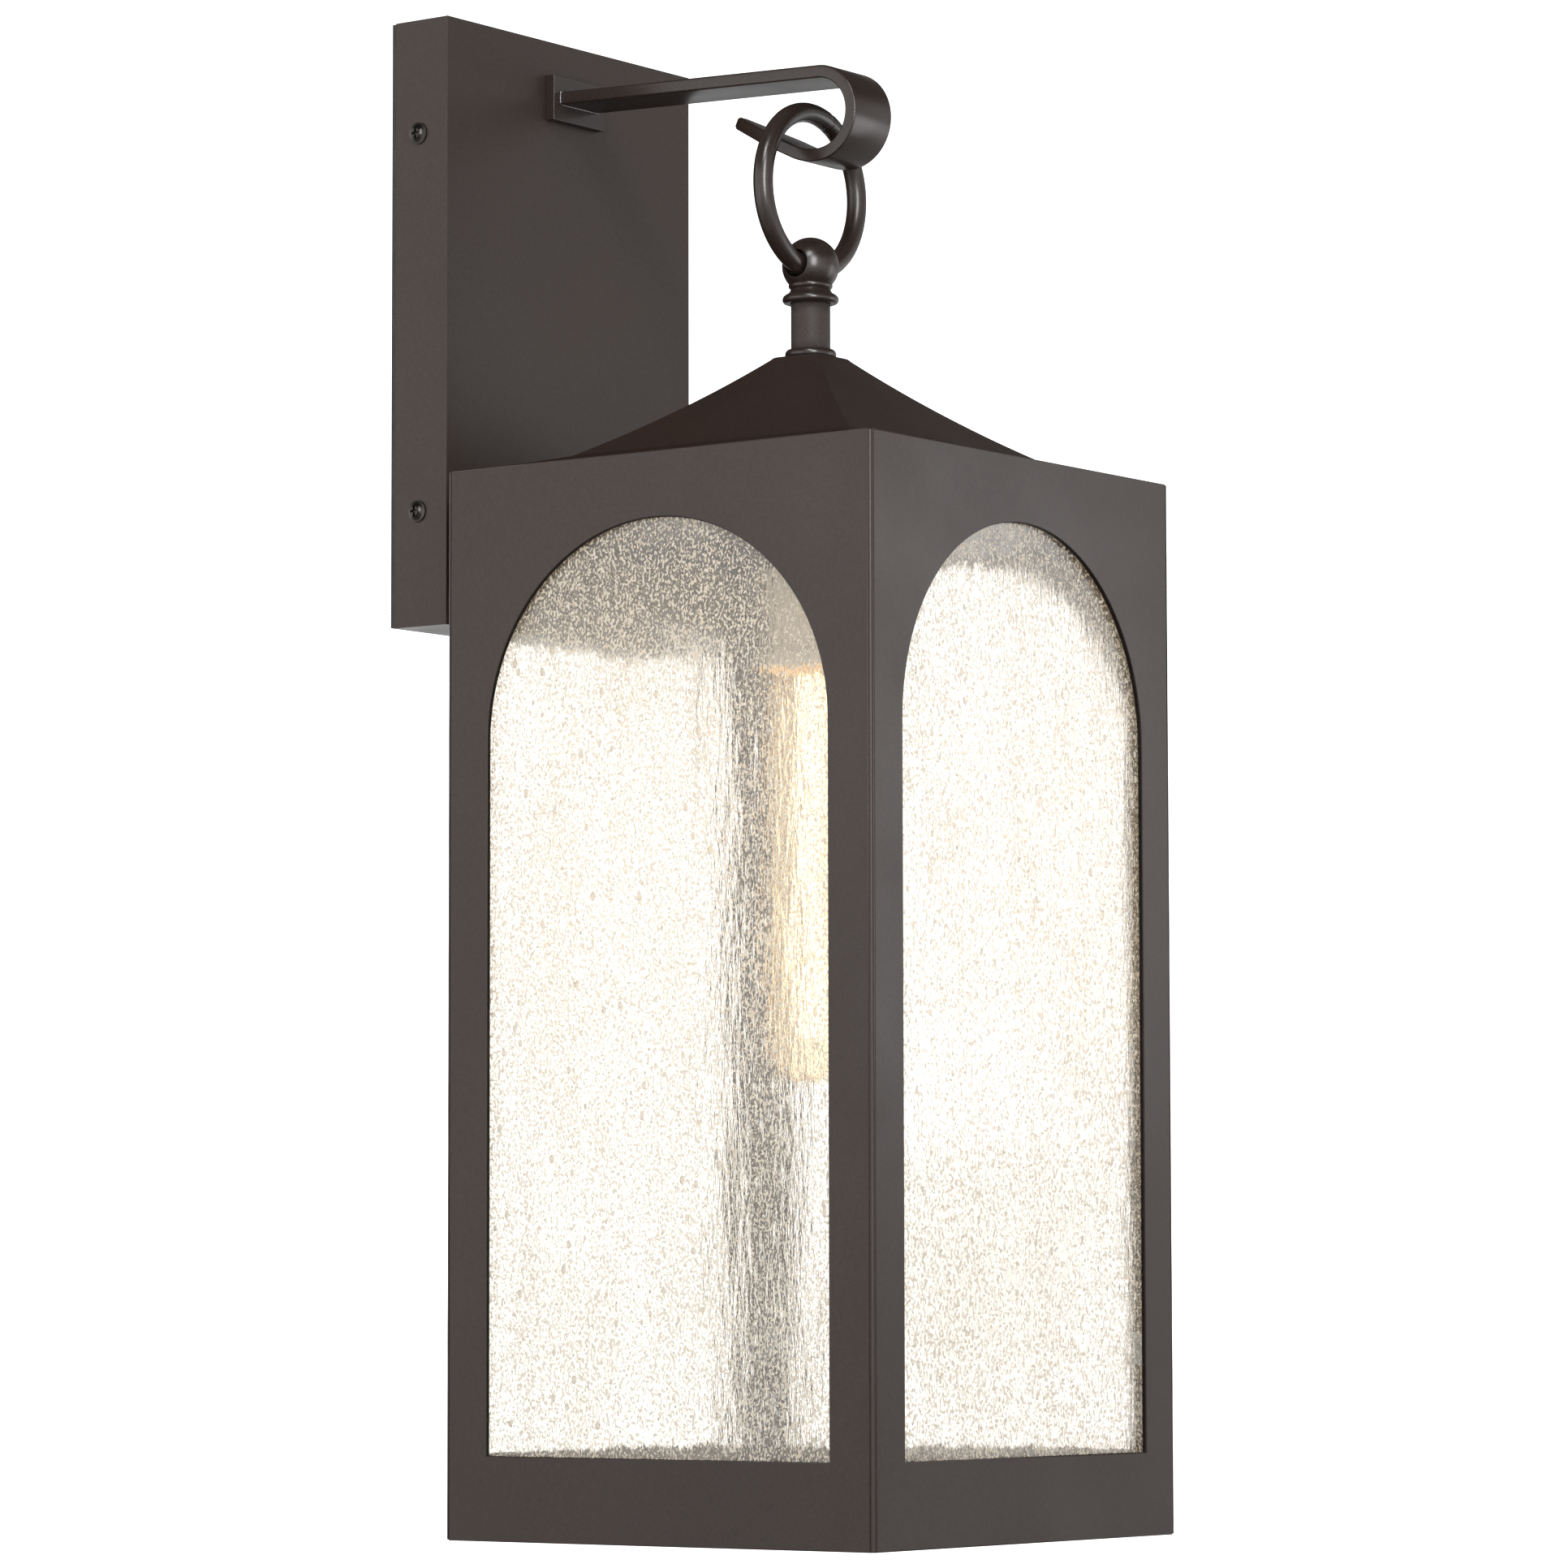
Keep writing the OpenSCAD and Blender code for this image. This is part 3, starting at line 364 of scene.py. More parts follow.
# ---------------------------------------------------------------- pieces made here
def piece(name, verts, faces, slot, body="lantern", replaces=(), sharp=30, look=None):
    """A mesh that rides its body and wears its look, or else its slot's material; edges past the sharp angle,
    in degrees, stay crisp.
    """
    mesh = bpy.data.meshes.new(name)
    mesh.from_pydata([tuple(v) for v in verts], [], faces)
    mesh.validate()
    mesh.update()
    obj = bpy.data.objects.new(name, mesh)
    bpy.context.scene.collection.objects.link(obj)
    mesh.materials.append(MATERIALS[look or slot])
    for poly in mesh.polygons:
        poly.use_smooth = True
    mesh.set_sharp_from_angle(angle=math.radians(sharp))
    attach(obj, body)
    if replaces:
        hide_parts(*replaces)
    return obj


def skin(rings, loop=False):
    """Faces between rings of points of one length; the ends are capped, or the last ring meets the first."""
    count = len(rings[0])
    verts = [v for ring in rings for v in ring]
    faces = []
    last = len(rings) if loop else len(rings) - 1
    for i in range(last):
        a, b = i * count, ((i + 1) % len(rings)) * count
        for k in range(count):
            m = (k + 1) % count
            faces.append((a + k, a + m, b + m, b + k))
    if not loop:
        faces.append(tuple(reversed(range(count))))
        faces.append(tuple(range((len(rings) - 1) * count, len(rings) * count)))
    return verts, faces


def circle(radius, count, x=0.0, y=0.0):
    """Points (x, y) evenly spaced round a circle."""
    angles = [2 * math.pi * k / count for k in range(count)]
    return [(x + radius * math.cos(a), y + radius * math.sin(a)) for a in angles]


def arc(p, q, bulge, steps):
    """Points of the arc from p to q that bulges to the left of its chord."""
    p, q = Vector(p), Vector(q)
    half = (q - p).length / 2
    radius = (half * half + bulge * bulge) / (2 * abs(bulge))
    along = (q - p).normalized()
    left = Vector((-along.y, along.x))
    side = math.copysign(1, bulge)
    centre = (p + q) / 2 + left * (bulge - side * radius)
    start = math.atan2(p.y - centre.y, p.x - centre.x)
    sweep = 2 * math.asin(min(1, half / radius))
    angles = [start - side * sweep * i / steps for i in range(steps + 1)]
    return [centre + radius * Vector((math.cos(a), math.sin(a))) for a in angles]


def rounded_square(half, corner, z, steps=4):
    """A level square ring of points with rounded corners."""
    ring = []
    corner = min(corner, half * 0.6)
    for k in range(4):
        base = math.pi / 2 * k
        for i in range(steps + 1):
            a = base + math.pi / 2 * i / steps
            cx = (half - corner) * (1 if k in (0, 3) else -1)
            cy = (half - corner) * (1 if k in (0, 1) else -1)
            ring.append(Vector((cx + corner * math.cos(a), cy + corner * math.sin(a), z)))
    return ring


def roof_skin():
    """The pressed roof: a hollow curve up to a flat top, a soft crease, and a flatter eave."""
    rise = (ROOF_HIGH.z - BODY_TOP) / MM
    eave = (ROOF_HIGH.x - AXIS.x) / MM
    skirt = (BODY_TOP - ROOF_LOW.z) / MM
    flat, shoulder, shoulder_h = 9.4, 10.6, rise - 0.9
    crease, crease_h, sag = 63, 6.6, 1.6
    sheet, eave_h, hole = 1.8, -0.5, 5.3
    curve = arc((flat, rise), (shoulder, shoulder_h), 0.15, 6)
    curve += arc((shoulder, shoulder_h), (crease, crease_h), -sag, 36)[1:]
    # round the crease over a few millimetres, then run out to the eave
    bend_in = curve[-2].lerp(Vector((crease, crease_h)), 0.75)
    bend_out = Vector((crease + 1.6, crease_h - 0.38))
    curve = curve[:-1] + [bend_in, Vector((crease + 0.5, crease_h - 0.16)), bend_out]
    for t in (0.25, 0.5, 0.75, 0.985):
        curve.append(Vector((crease + (eave - crease) * t, crease_h + (eave_h - crease_h) * t)))
    edge = [Vector((eave, -0.62)), Vector((eave, -1.1)), Vector((eave, -skirt))]
    outer = curve + edge
    inner = [Vector((eave - 1.5, -skirt))] + [
        Vector((min(p.x, eave - 1.5), p.y - sheet)) for p in reversed(curve)
    ]
    rings = []
    steps = 4
    mouth = []
    for k in range(4):
        for i in range(steps + 1):
            a = math.pi / 2 * k + math.pi / 2 * (i + 0.5) / (steps + 1)
            mouth.append(Vector((hole * math.cos(a), hole * math.sin(a), 0)))
    rings.append([v + Vector((0, 0, rise)) for v in mouth])
    for p in outer:
        rings.append(rounded_square(p.x, 0.55 + 0.5 * p.x / eave, p.y))
    for p in inner:
        rings.append(rounded_square(p.x, 0.5, p.y))
    rings.append([v + Vector((0, 0, rise - sheet)) for v in mouth])
    top = Vector((AXIS.x, AXIS.y, BODY_TOP))
    rings = [[top + v * MM for v in ring] for ring in rings]
    verts, faces = skin(rings, loop=True)
    faces = [tuple(reversed(f)) for f in faces]
    piece("roof_skin", verts, faces, "bronze_paint", replaces=("roof",), sharp=28, look="bronze_roof")


# The hook's bar in millimetres, and the number of steps in each half of its tail
TAIL_STEPS = 24
STRAP_T = 4.8
STRAP_HALF_W = (ARM_HIGH.x - ARM_LOW.x) / 2 / MM


def strap_line():
    """The middle line of the hook's bar as (distance from the wall, height, direction), in millimetres."""
    curl_r, turn_r, rise, tail, slope = 15.5, 24.6, 26.0, 36.8, 2.0
    curl_u = -ARM_LOW.y / MM - curl_r - STRAP_T / 2
    curl_z = ARM_LOW.z / MM + curl_r + STRAP_T / 2
    start_u = -FLANGE_LOW.y / MM
    top = (curl_u + curl_r * math.sin(math.radians(slope)), curl_z + curl_r * math.cos(math.radians(slope)))
    root_z = top[1] + (top[0] - start_u) * math.tan(math.radians(slope))
    line = []
    straight, curl_steps = 9, 96
    for i in range(straight):
        t = i / straight
        u, z = start_u + (top[0] - start_u) * t, root_z + (top[1] - root_z) * t
        line.append((u, z, 0 if i == 0 else -slope))
    for i in range(curl_steps + 1):
        degrees = slope + (180 - slope) * i / curl_steps
        a = math.radians(degrees)
        line.append((curl_u + curl_r * math.sin(a), curl_z + curl_r * math.cos(a), -degrees))
    turn = (curl_u, curl_z - curl_r + turn_r)
    for i in range(1, TAIL_STEPS + 1):
        degrees = rise * i / TAIL_STEPS
        a = math.radians(degrees)
        line.append((turn[0] - turn_r * math.sin(a), turn[1] - turn_r * math.cos(a), -180 - degrees))
    u, z, d = line[-1]
    a = math.radians(rise)
    for i in range(1, TAIL_STEPS + 1):
        t = tail * i / TAIL_STEPS
        line.append((u - t * math.cos(a), z + t * math.sin(a), d))
    return line


def strap_section(half_w, half_t, corner):
    """The bar's section: a rectangle with rounded corners, six points to a corner."""
    points = []
    for sx, sn, base in ((1, 1, 0), (-1, 1, 90), (-1, -1, 180), (1, -1, 270)):
        for i in range(6):
            a = math.radians(base + 18 * i)
            x, n = sx * (half_w - corner), sn * (half_t - corner)
            points.append((x + corner * math.cos(a), n + corner * math.sin(a)))
    return points


def hook_strap():
    """The forged hook: the bar along its line, with a tail that narrows and a slightly pinched tip."""
    line = strap_line()
    half_t, tip_half, corner = STRAP_T / 2, 2.0, 0.75
    tip_u, tail_u = line[-1][0], line[-TAIL_STEPS - 1][0]
    narrow_u = tail_u + (tip_u - tail_u) * 0.4
    rings = []
    for i, (u, z, d) in enumerate(line):
        width, scale_t = STRAP_HALF_W, 1.0
        if i >= len(line) - TAIL_STEPS - 1 and u < narrow_u:
            width = STRAP_HALF_W + (tip_half - STRAP_HALF_W) * (narrow_u - u) / (narrow_u - tip_u)
        if i == len(line) - 1:
            width, scale_t = width - 0.4, 0.78
        nu, nz = -math.sin(math.radians(d)), math.cos(math.radians(d))
        ring = []
        for x, n in strap_section(width, half_t * scale_t, corner):
            ring.append(Vector((x, -(u + n * nu), z + n * nz)) * MM)
        rings.append(ring)
    verts, faces = skin(rings)
    piece("hook_strap", verts, faces, "bronze_paint", replaces=("hook_arm",), sharp=35, look="bronze_gloss")


def ring_wire():
    """The loose ring: round bar bent into a circle, with the seam of its weld near the top."""
    mid = (RING_LOW + RING_HIGH) / 2
    wire = (RING_HIGH.y - RING_LOW.y) / 2
    big = (RING_HIGH.x - RING_LOW.x) / 2 - wire
    rings = []
    turns, sides = 180, 28
    seam = math.radians(70)
    swell_h, swell_w, notch_h, notch_w = 0.17 * MM, 0.055, 0.32 * MM, 0.016
    for i in range(turns):
        a = 2 * math.pi * i / turns
        gap = abs((a - seam + math.pi) % (2 * math.pi) - math.pi)
        bead = swell_h * math.exp(-((gap / swell_w) ** 2)) - notch_h * math.exp(-((gap / notch_w) ** 2))
        ring = []
        for k in range(sides):
            b = 2 * math.pi * k / sides
            rough = 1 + 0.6 * noise.noise(Vector((3 * math.cos(b), 3 * math.sin(b), 9 * a)))
            r = wire - 0.02 * MM + bead * (rough if gap < 0.2 else 1)
            r = min(r, wire)
            out = big + r * math.cos(b)
            ring.append(mid + Vector((out * math.cos(a), r * math.sin(b), out * math.sin(a))))
        rings.append(ring)
    verts, faces = skin(rings, loop=True)
    faces = [tuple(reversed(f)) for f in faces]
    piece("ring_wire", verts, faces, "bronze_paint", body="ring", replaces=("hanging_ring",), sharp=60,
          look="bronze_gloss")


def weld_bead():
    """The fillet weld all round the bar, where it meets the flange."""
    root = Vector((0, FLANGE_LOW.y, strap_line()[0][1] * MM))
    half_w, half_t = STRAP_HALF_W, STRAP_T / 2
    near, pitch, spread = 0.9, 0.5, 0.55
    outline = strap_section(half_w + 0.1, half_t + 0.1, 0.8)
    points = []
    for i, p in enumerate(outline):
        q = outline[(i + 1) % len(outline)]
        parts = max(1, round(math.dist(p, q) / pitch))
        points += [(p[0] + (q[0] - p[0]) * j / parts, p[1] + (q[1] - p[1]) * j / parts) for j in range(parts)]
    rings = []
    for i, (x, z) in enumerate(points):
        out_x = x / half_w if abs(x) > half_w - near else 0
        out_z = z / half_t if abs(z) > half_t - near else 0
        out = Vector((out_x, 0, out_z)).normalized()
        ripple = 0.5 + 0.5 * math.sin(i * 1.15 + 2.5 * noise.noise(Vector((x, z, 3))))
        size = 0.75 + 0.28 * ripple + 0.35 * noise.noise(Vector((x * 0.45, z * 0.5, 7)))
        ring = []
        for k in range(8):
            b = 2 * math.pi * k / 8
            sideways = out * size * spread * math.cos(b)
            forward = Vector((0, -size * spread * (math.sin(b) + 0.3), 0))
            ring.append(root + (Vector((x, 0, z)) + sideways + forward) * MM)
        rings.append(ring)
    verts, faces = skin(rings, loop=True)
    piece("arm_weld", verts, faces, "bronze_paint", sharp=80, look="bronze_weld")


def turned(name, outline, base_z, replaces, look="bronze_gloss", steps=96, sharp=40):
    """A turned part on the lantern's axis, from its closed outline of (radius, height) in millimetres."""
    rings = []
    for i in range(steps):
        a = 2 * math.pi * i / steps
        c, d = math.cos(a), math.sin(a)
        ring = []
        for r, z in outline:
            ring.append(Vector((AXIS.x + r * MM * c, AXIS.y + r * MM * d, base_z + z * MM)))
        rings.append(ring)
    verts, faces = skin(rings, loop=True)
    faces = [tuple(reversed(f)) for f in faces]
    return piece(name, verts, faces, "bronze_paint", replaces=replaces, sharp=sharp, look=look)


def collar_and_stem():
    """The roof's collar and the painted tube that carries the knob, both open down the middle."""
    low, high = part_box("roof_collar")
    tall = (high.z - low.z) / MM
    outer = (high.x - AXIS.x) / MM
    bore = 5.5
    rim = arc((outer - 0.45, 0), (outer - 0.9, tall), -0.62, 10)
    outline = [(bore, 0)] + [(p.x, p.y) for p in rim]
    outline += [(outer - 1.6, tall), (7.6, tall - 0.15), (bore, tall - 0.15)]
    turned("collar", outline, low.z, ("roof_collar",), sharp=55)
    low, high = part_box("stem_tube")
    tall, r = (high.z - low.z) / MM, (high.x - AXIS.x) / MM
    bore, ease = 5.6, 0.3
    outline = [(bore, 0), (r - ease, 0), (r, ease), (r, 4), (r, 9)]
    outline += [(r, tall - ease), (r - ease, tall), (bore, tall)]
    # The stem wears the lighter, painted-light copy of the paint
    turned("stem", outline, low.z, ("stem_tube",), look="bronze_stem_lit", sharp=55)


def knob():
    """The cast knob: flared foot, beaded neck and drilled ball, with soft cast transitions."""
    low = KNOB_LOW.z
    ball_r, neck_r = 10.6, 7.1
    ball_z = (KNOB_HIGH.z - low) / MM - ball_r
    foot = [(5.2, 1.4), (7.5, 1.4), (7.5, 0.25), (8.9, 0.0), (9.9, 0.35)]
    foot += [(10.4, 1.1), (10.45, 1.9), (10.1, 2.8)]
    cove = [(9.4, 3.4), (8.7, 3.75), (8.0, 4.3), (7.6, 5.0), (7.35, 5.55)]
    bead = [(7.75, 5.8), (8.1, 6.3), (8.2, 6.9), (8.05, 7.5), (7.6, 7.95), (7.3, 8.1)]
    outline = foot + cove + bead
    start = math.asin(neck_r / ball_r)
    for i in range(25):
        a = start + (math.pi - start) * i / 24
        outline.append((max(0.02, ball_r * math.sin(a)), ball_z - ball_r * math.cos(a)))
    outline.append((0.02, 8.5))
    outline.append((5.2, 8.0))
    obj = turned("knob", outline, low, ("eye_knob",), steps=128, sharp=60)
    drill = bpy.data.meshes.new("drill")
    hole, reach = 5.2, 14
    ends = []
    for x in (-reach, reach):
        spots = circle(hole, 64, 0, ball_z)
        ends.append([Vector((AXIS.x + x * MM, AXIS.y + y * MM, low + z * MM)) for y, z in spots])
    verts, faces = skin(ends)
    drill.from_pydata([tuple(v) for v in verts], [], faces)
    drill.update()
    tool = bpy.data.objects.new("drill", drill)
    bpy.context.scene.collection.objects.link(tool)
    cutter = obj.modifiers.new("drill", "BOOLEAN")
    cutter.object = tool
    cutter.solver = "EXACT"
    cutter.operation = "DIFFERENCE"
    graph = bpy.context.evaluated_depsgraph_get()
    drilled = bpy.data.meshes.new_from_object(obj.evaluated_get(graph))
    obj.modifiers.clear()
    bpy.data.objects.remove(tool)
    old = obj.data
    obj.data = drilled
    bpy.data.meshes.remove(old)
    for poly in drilled.polygons:
        poly.use_smooth = True
    rim = obj.modifiers.new("rim", "BEVEL")
    rim.width = 0.45 * MM
    rim.segments = 4
    rim.limit_method = "ANGLE"
    rim.angle_limit = math.radians(40)
    rim.use_clamp_overlap = True
    even = obj.modifiers.new("even", "WEIGHTED_NORMAL")
    even.keep_sharp = False


def sheet_panel(name, node, turn, holes=()):
    """One body panel as pressed sheet: rolled outer edges, and a punched arched window with eased edges."""
    half = HIGH.x - AXIS.x
    sheet_half, groove = 1.0 * MM, 1.55 * MM
    ease = 0.55 * MM
    arch, sill_rise, crown_drop = 76 * MM, 30.5 * MM, 24 * MM
    sill = BODY_LOW + sill_rise
    spring = BODY_TOP - crown_drop - arch
    curve = bpy.data.curves.new(name, "CURVE")
    curve.dimensions = "2D"
    curve.fill_mode = "BOTH"
    curve.extrude = sheet_half - ease
    curve.bevel_depth = ease
    curve.bevel_resolution = 3
    curve.offset = -ease
    edge = half - groove

    def loop(points):
        spline = curve.splines.new("POLY")
        spline.points.add(len(points) - 1)
        for p, (x, z) in zip(spline.points, points):
            p.co = (x, z, 0, 1)
        spline.use_cyclic_u = True

    loop([(-edge, BODY_LOW), (edge, BODY_LOW), (edge, BODY_TOP), (-edge, BODY_TOP)])
    window = [(-arch, sill), (-arch, spring)]
    for i in range(1, 96):
        a = math.pi * i / 96
        window.append((-arch * math.cos(a), spring + arch * math.sin(a)))
    window += [(arch, spring), (arch, sill)]
    loop(window)
    for x, z, r in holes:
        loop(circle(r, 32, x, z))
    draft = bpy.data.objects.new(name + "_draft", curve)
    bpy.context.scene.collection.objects.link(draft)
    graph = bpy.context.evaluated_depsgraph_get()
    mesh = bpy.data.meshes.new_from_object(draft.evaluated_get(graph))
    bpy.data.objects.remove(draft)
    stand = Matrix.Rotation(math.radians(90), 4, "X")
    spin = Matrix.Rotation(turn, 4, "Z")
    mesh.transform(Matrix.Translation(AXIS) @ spin @ Matrix.Translation((0, -half + sheet_half, 0)) @ stand)
    mesh.name = name
    obj = bpy.data.objects.new(name, mesh)
    bpy.context.scene.collection.objects.link(obj)
    mesh.materials.clear()
    mesh.materials.append(MATERIALS["bronze_paint"])
    mesh.materials.append(MATERIALS["bronze_reveal_shade"])
    # Faces round the window opening get the painted shade material, standing in for the shadow in the gap
    # where the glass sits
    outward = spin.to_3x3() @ Vector((0, -1, 0))
    for poly in mesh.polygons:
        away = abs((poly.center - AXIS).dot(spin.to_3x3() @ Vector((1, 0, 0))))
        inside = away < arch + 0.2 * MM and sill - 0.2 * MM < poly.center.z < spring + arch + 0.2 * MM
        if inside and abs(poly.normal.dot(outward)) < 0.8:
            poly.material_index = 1
    weld = obj.modifiers.new("weld", "WELD")
    weld.merge_threshold = 5e-6
    for poly in mesh.polygons:
        poly.use_smooth = True
    even = obj.modifiers.new("even", "WEIGHTED_NORMAL")
    even.keep_sharp = False
    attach(obj, "lantern")
    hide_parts(node)


def corner_seams():
    """The filled seam down each corner of the body: a round bead between the rolled edges of two panels."""
    half, bead, sunk = HIGH.x - AXIS.x, 1.25, 0.10
    short = 0.4 * MM
    verts, faces = [], []
    for sx, sy in ((1, 1), (1, -1), (-1, -1), (-1, 1)):
        rings = []
        for i in range(61):
            z = BODY_LOW + short + (BODY_TOP - BODY_LOW - 2 * short) * i / 60
            mid = half - (bead + sunk - 0.04 * noise.noise(Vector((sx * 3, sy * 5, z * 60)))) * MM
            ring = []
            for degrees in range(90, -1, -9):
                a = math.radians(degrees)
                x, y = mid + bead * MM * math.cos(a), mid + bead * MM * math.sin(a)
                ring.append(Vector((AXIS.x + sx * x, AXIS.y + sy * y, z)))
            ring.append(Vector((AXIS.x + sx * (mid - 0.3 * MM), AXIS.y + sy * (mid - 0.3 * MM), z)))
            rings.append(ring if sx * sy < 0 else list(reversed(ring)))
        v, f = skin(rings)
        faces += [tuple(len(verts) + i for i in face) for face in f]
        verts += v
    piece("corner_seams", verts, faces, "bronze_paint", sharp=60)


def wavy_pane(name, node, seed):
    """One pane, drawn sheet glass: both faces swell and dip a little, more across than along."""
    low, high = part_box(node)
    across_x = high.x - low.x > high.y - low.y
    width = (high.x - low.x) if across_x else (high.y - low.y)
    thick = (high.y - low.y) if across_x else (high.x - low.x)
    height = high.z - low.z
    nu, nv = 68, 120

    def point(u, v, face):
        s, t = (u / nu - 0.5) * width, v / nv * height
        edge = min(1, min(u, nu - u, v, nv - v) / 4)
        swell = noise.noise(Vector((s * 75, t * 22, seed + 5 * face)))
        swell += 0.5 * noise.noise(Vector((s * 190, t * 40, seed + 9 * face)))
        depth = (0.5 + 0.5 * max(-1, min(1, swell))) * 0.28 * MM * edge
        inward = thick * face + (depth if face == 0 else -depth)
        if across_x:
            return Vector(((low.x + high.x) / 2 + s, low.y + inward, low.z + t))
        return Vector((low.x + inward, (low.y + high.y) / 2 + s, low.z + t))

    verts, faces = [], []
    for face in (0, 1):
        for v in range(nv + 1):
            for u in range(nu + 1):
                verts.append(point(u, v, face))
    row, total = nu + 1, (nu + 1) * (nv + 1)
    for v in range(nv):
        for u in range(nu):
            a = v * row + u
            quad = (a, a + 1, a + row + 1, a + row)
            faces.append(quad)
            faces.append(tuple(total + i for i in reversed(quad)))
    rim = list(range(nu)) + [v * row + nu for v in range(nv)]
    rim += [nv * row + u for u in range(nu, 0, -1)] + [v * row for v in range(nv, 0, -1)]
    for i, a in enumerate(rim):
        b = rim[(i + 1) % len(rim)]
        faces.append((b, a, total + a, total + b))
    if not across_x:
        faces = [tuple(reversed(f)) for f in faces]
    piece(name, verts, faces, "seeded_glass", replaces=(node,), sharp=50)


SIDES = ("front", "right", "back", "left")

roof_skin()
collar_and_stem()
knob()
feed_low, feed_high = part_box("feed_nipple")
bolt_low, bolt_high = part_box("spacer_bolts")
feed_at = (feed_low.z + feed_high.z) / 2
bolt_at = (bolt_high.x - bolt_low.x) / 2 - 4.6 * MM
holes = [(0, feed_at, 7.0 * MM), (-bolt_at, feed_at, 2.6 * MM), (bolt_at, feed_at, 2.6 * MM)]
for quarter, side in enumerate(SIDES):
    sheet_panel(side + "_sheet", side + "_panel", math.pi / 2 * quarter, holes if side == "back" else ())
corner_seams()
hook_strap()
ring_wire()
weld_bead()
for quarter, side in enumerate(SIDES):
    wavy_pane(side + "_pane", side + "_glass", 11 * quarter)


# ---------------------------------------------------------------- stage, light, camera
def floor():
    """A wide pale floor that fades into the white backdrop; from beneath it can be seen through."""
    half, z = 24.0, LOW.z - 0.28
    count = 24
    verts = [Vector((0, CENTRE.y, z))]
    faces = []
    rings = (0.8, 1.6, 3.0, 6.0, half)
    for r in rings:
        verts += [Vector((x, y, z)) for x, y in circle(r, count, 0, CENTRE.y)]
    for k in range(count):
        faces.append((0, 1 + k, 1 + (k + 1) % count))
    for i in range(len(rings) - 1):
        for k in range(count):
            a, b = 1 + i * count, 1 + (i + 1) * count
            m = (k + 1) % count
            faces.append((a + k, b + k, b + m, a + m))
    mesh = bpy.data.meshes.new("floor")
    mesh.from_pydata([tuple(v) for v in verts], [], faces)
    obj = bpy.data.objects.new("floor", mesh)
    bpy.context.scene.collection.objects.link(obj)
    n = Nodes("floor")
    where = n.place()
    reach = n.add("VectorMath", operation="LENGTH")
    n.put(reach, 0, where)
    tone = n.mix(n.noise(where, 6, 3), (0.73, 0.73, 0.72), (0.77, 0.77, 0.76))
    matte = n.add("BsdfDiffuse", Color=tone)
    glow = n.add("Emission", Color=(1, 1, 1, 1), Strength=1.7)
    blend = n.add("MixShader")
    n.put(blend, 0, n.fit(reach.outputs["Value"], 1.0, 4.2, 0.0, 1.0, True))
    n.put(blend, 1, matte.outputs[0])
    n.put(blend, 2, glow.outputs[0])
    under = n.add("MixShader")
    n.put(under, 0, n.add("NewGeometry").outputs["Backfacing"])
    n.put(under, 1, blend.outputs[0])
    n.put(under, 2, n.add("BsdfTransparent").outputs[0])
    mesh.materials.append(n.surface(under))


def studio():
    """White surroundings, darker overhead, with a dark flag to the front right to shape the reflections."""
    world = bpy.data.worlds.new("studio")
    bpy.context.scene.world = world
    world.use_nodes = True
    tree = world.node_tree
    tree.nodes.clear()
    coords = tree.nodes.new("ShaderNodeTexCoord").outputs["Generated"]

    def ramp(value, low, high, to_low, to_high):
        node = tree.nodes.new("ShaderNodeMapRange")
        node.interpolation_type = "SMOOTHSTEP"
        for key, v in (("From Min", low), ("From Max", high), ("To Min", to_low), ("To Max", to_high)):
            node.inputs[key].default_value = v
        tree.links.new(value, node.inputs["Value"])
        return node.outputs["Result"]

    split = tree.nodes.new("ShaderNodeSeparateXYZ")
    tree.links.new(coords, split.inputs[0])
    overhead = ramp(split.outputs["Z"], 0.26, 0.52, 1.70, 0.12)
    toward = tree.nodes.new("ShaderNodeVectorMath")
    toward.operation = "DOT_PRODUCT"
    tree.links.new(coords, toward.inputs[0])
    toward.inputs[1].default_value = (0.80, -0.58, 0.12)
    flag = ramp(toward.outputs["Value"], 0.45, 0.92, 1.0, 0.46)
    level = tree.nodes.new("ShaderNodeMath")
    level.operation = "MULTIPLY"
    tree.links.new(overhead, level.inputs[0])
    tree.links.new(flag, level.inputs[1])
    back = tree.nodes.new("ShaderNodeBackground")
    back.inputs["Color"].default_value = (1, 1, 1, 1)
    out = tree.nodes.new("ShaderNodeOutputWorld")
    tree.links.new(level.outputs[0], back.inputs["Strength"])
    tree.links.new(back.outputs[0], out.inputs["Surface"])


def soft_box(name, azimuth, elevation, distance, size, power, gloss_only=False):
    """A rectangular soft light that looks at the lantern's middle; a gloss-only one just draws highlights."""
    a, e = math.radians(azimuth), math.radians(elevation)
    away = Vector((math.sin(a) * math.cos(e), -math.cos(a) * math.cos(e), math.sin(e)))
    lamp = bpy.data.lights.new(name, "AREA")
    lamp.shape = "RECTANGLE"
    lamp.size, lamp.size_y = size
    lamp.energy = power
    obj = bpy.data.objects.new(name, lamp)
    obj.location = CENTRE + away * distance
    obj.rotation_euler = away.to_track_quat("Z", "Y").to_euler()
    obj.visible_camera = obj.visible_transmission = False
    obj.visible_diffuse = not gloss_only
    bpy.context.scene.collection.objects.link(obj)


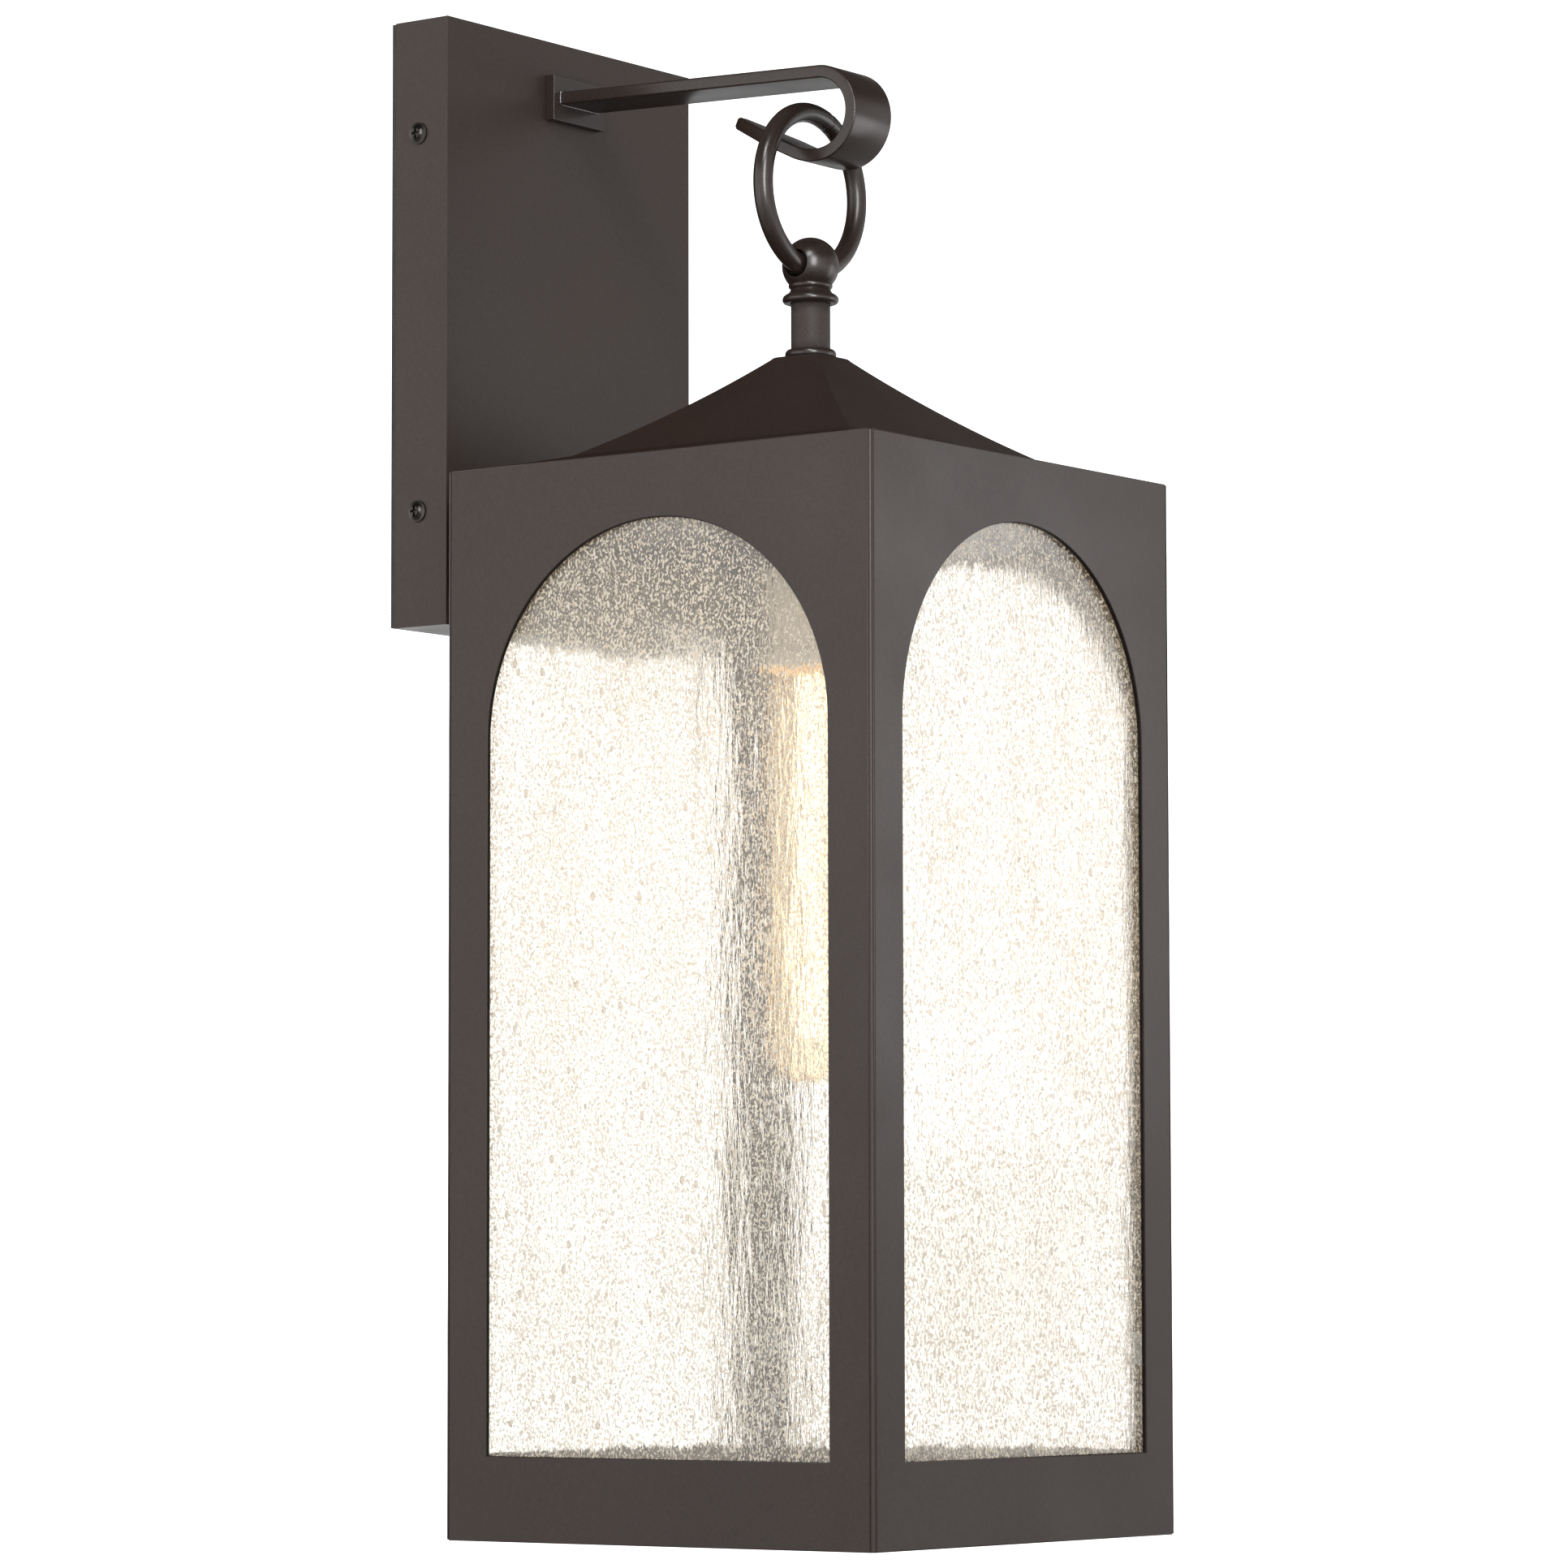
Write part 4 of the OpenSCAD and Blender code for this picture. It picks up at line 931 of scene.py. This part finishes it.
def bulb_light():
    """The lit filaments' own warm light: three soft sources down the middle of the bulb."""
    low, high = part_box("bulb_filaments")
    for i, share in enumerate((0.2, 0.5, 0.8)):
        lamp = bpy.data.lights.new("glow", "POINT")
        lamp.energy = 0.075
        lamp.color = (1.0, 0.76, 0.50)
        lamp.shadow_soft_size = 0.005
        obj = bpy.data.objects.new("glow_%d" % i, lamp)
        obj.location = (AXIS.x, AXIS.y, low.z + (high.z - low.z) * share)
        obj.visible_camera = obj.visible_transmission = obj.visible_glossy = False
        bpy.context.scene.collection.objects.link(obj)


def camera():
    """The view of the picture: from the front left, a little below the lantern's middle, with a long lens."""
    azimuth, elevation, roll = -53.584, -4.722, -0.116
    distance, lens = 2.2, 139.8
    aim = CENTRE + Vector((-0.0352, -0.0358, -0.0096))
    a, e, tilt = math.radians(azimuth), math.radians(elevation), math.radians(roll)
    away = Vector((math.sin(a) * math.cos(e), -math.cos(a) * math.cos(e), math.sin(e)))
    right = Vector((math.cos(a), math.sin(a), 0))
    up = away.cross(right)
    c, d = math.cos(tilt), math.sin(tilt)
    right, up = right * c + up * d, up * c - right * d
    data = bpy.data.cameras.new("camera")
    data.sensor_width = 36
    data.lens = lens
    data.clip_start, data.clip_end = 0.05, 60
    obj = bpy.data.objects.new("camera", data)
    spot = aim + away * distance
    rows = [(right[i], up[i], away[i], spot[i]) for i in range(3)]
    obj.matrix_world = Matrix((*rows, (0, 0, 0, 1)))
    bpy.context.scene.collection.objects.link(obj)
    bpy.context.scene.camera = obj


floor()
studio()
soft_box("key", azimuth=-58, elevation=46, distance=2.3, size=(0.6, 0.6), power=20)
soft_box("side", azimuth=42, elevation=4.5, distance=0.62, size=(0.20, 0.36), power=0.50)
soft_box("rear", azimuth=-107, elevation=6, distance=0.52, size=(0.16, 0.36), power=0.14)
soft_box("strip", azimuth=-40, elevation=18, distance=2.0, size=(0.6, 1.2), power=34, gloss_only=True)
bulb_light()
camera()
bpy.context.scene.view_settings.view_transform = "Standard"

bpy.context.view_layer.update()
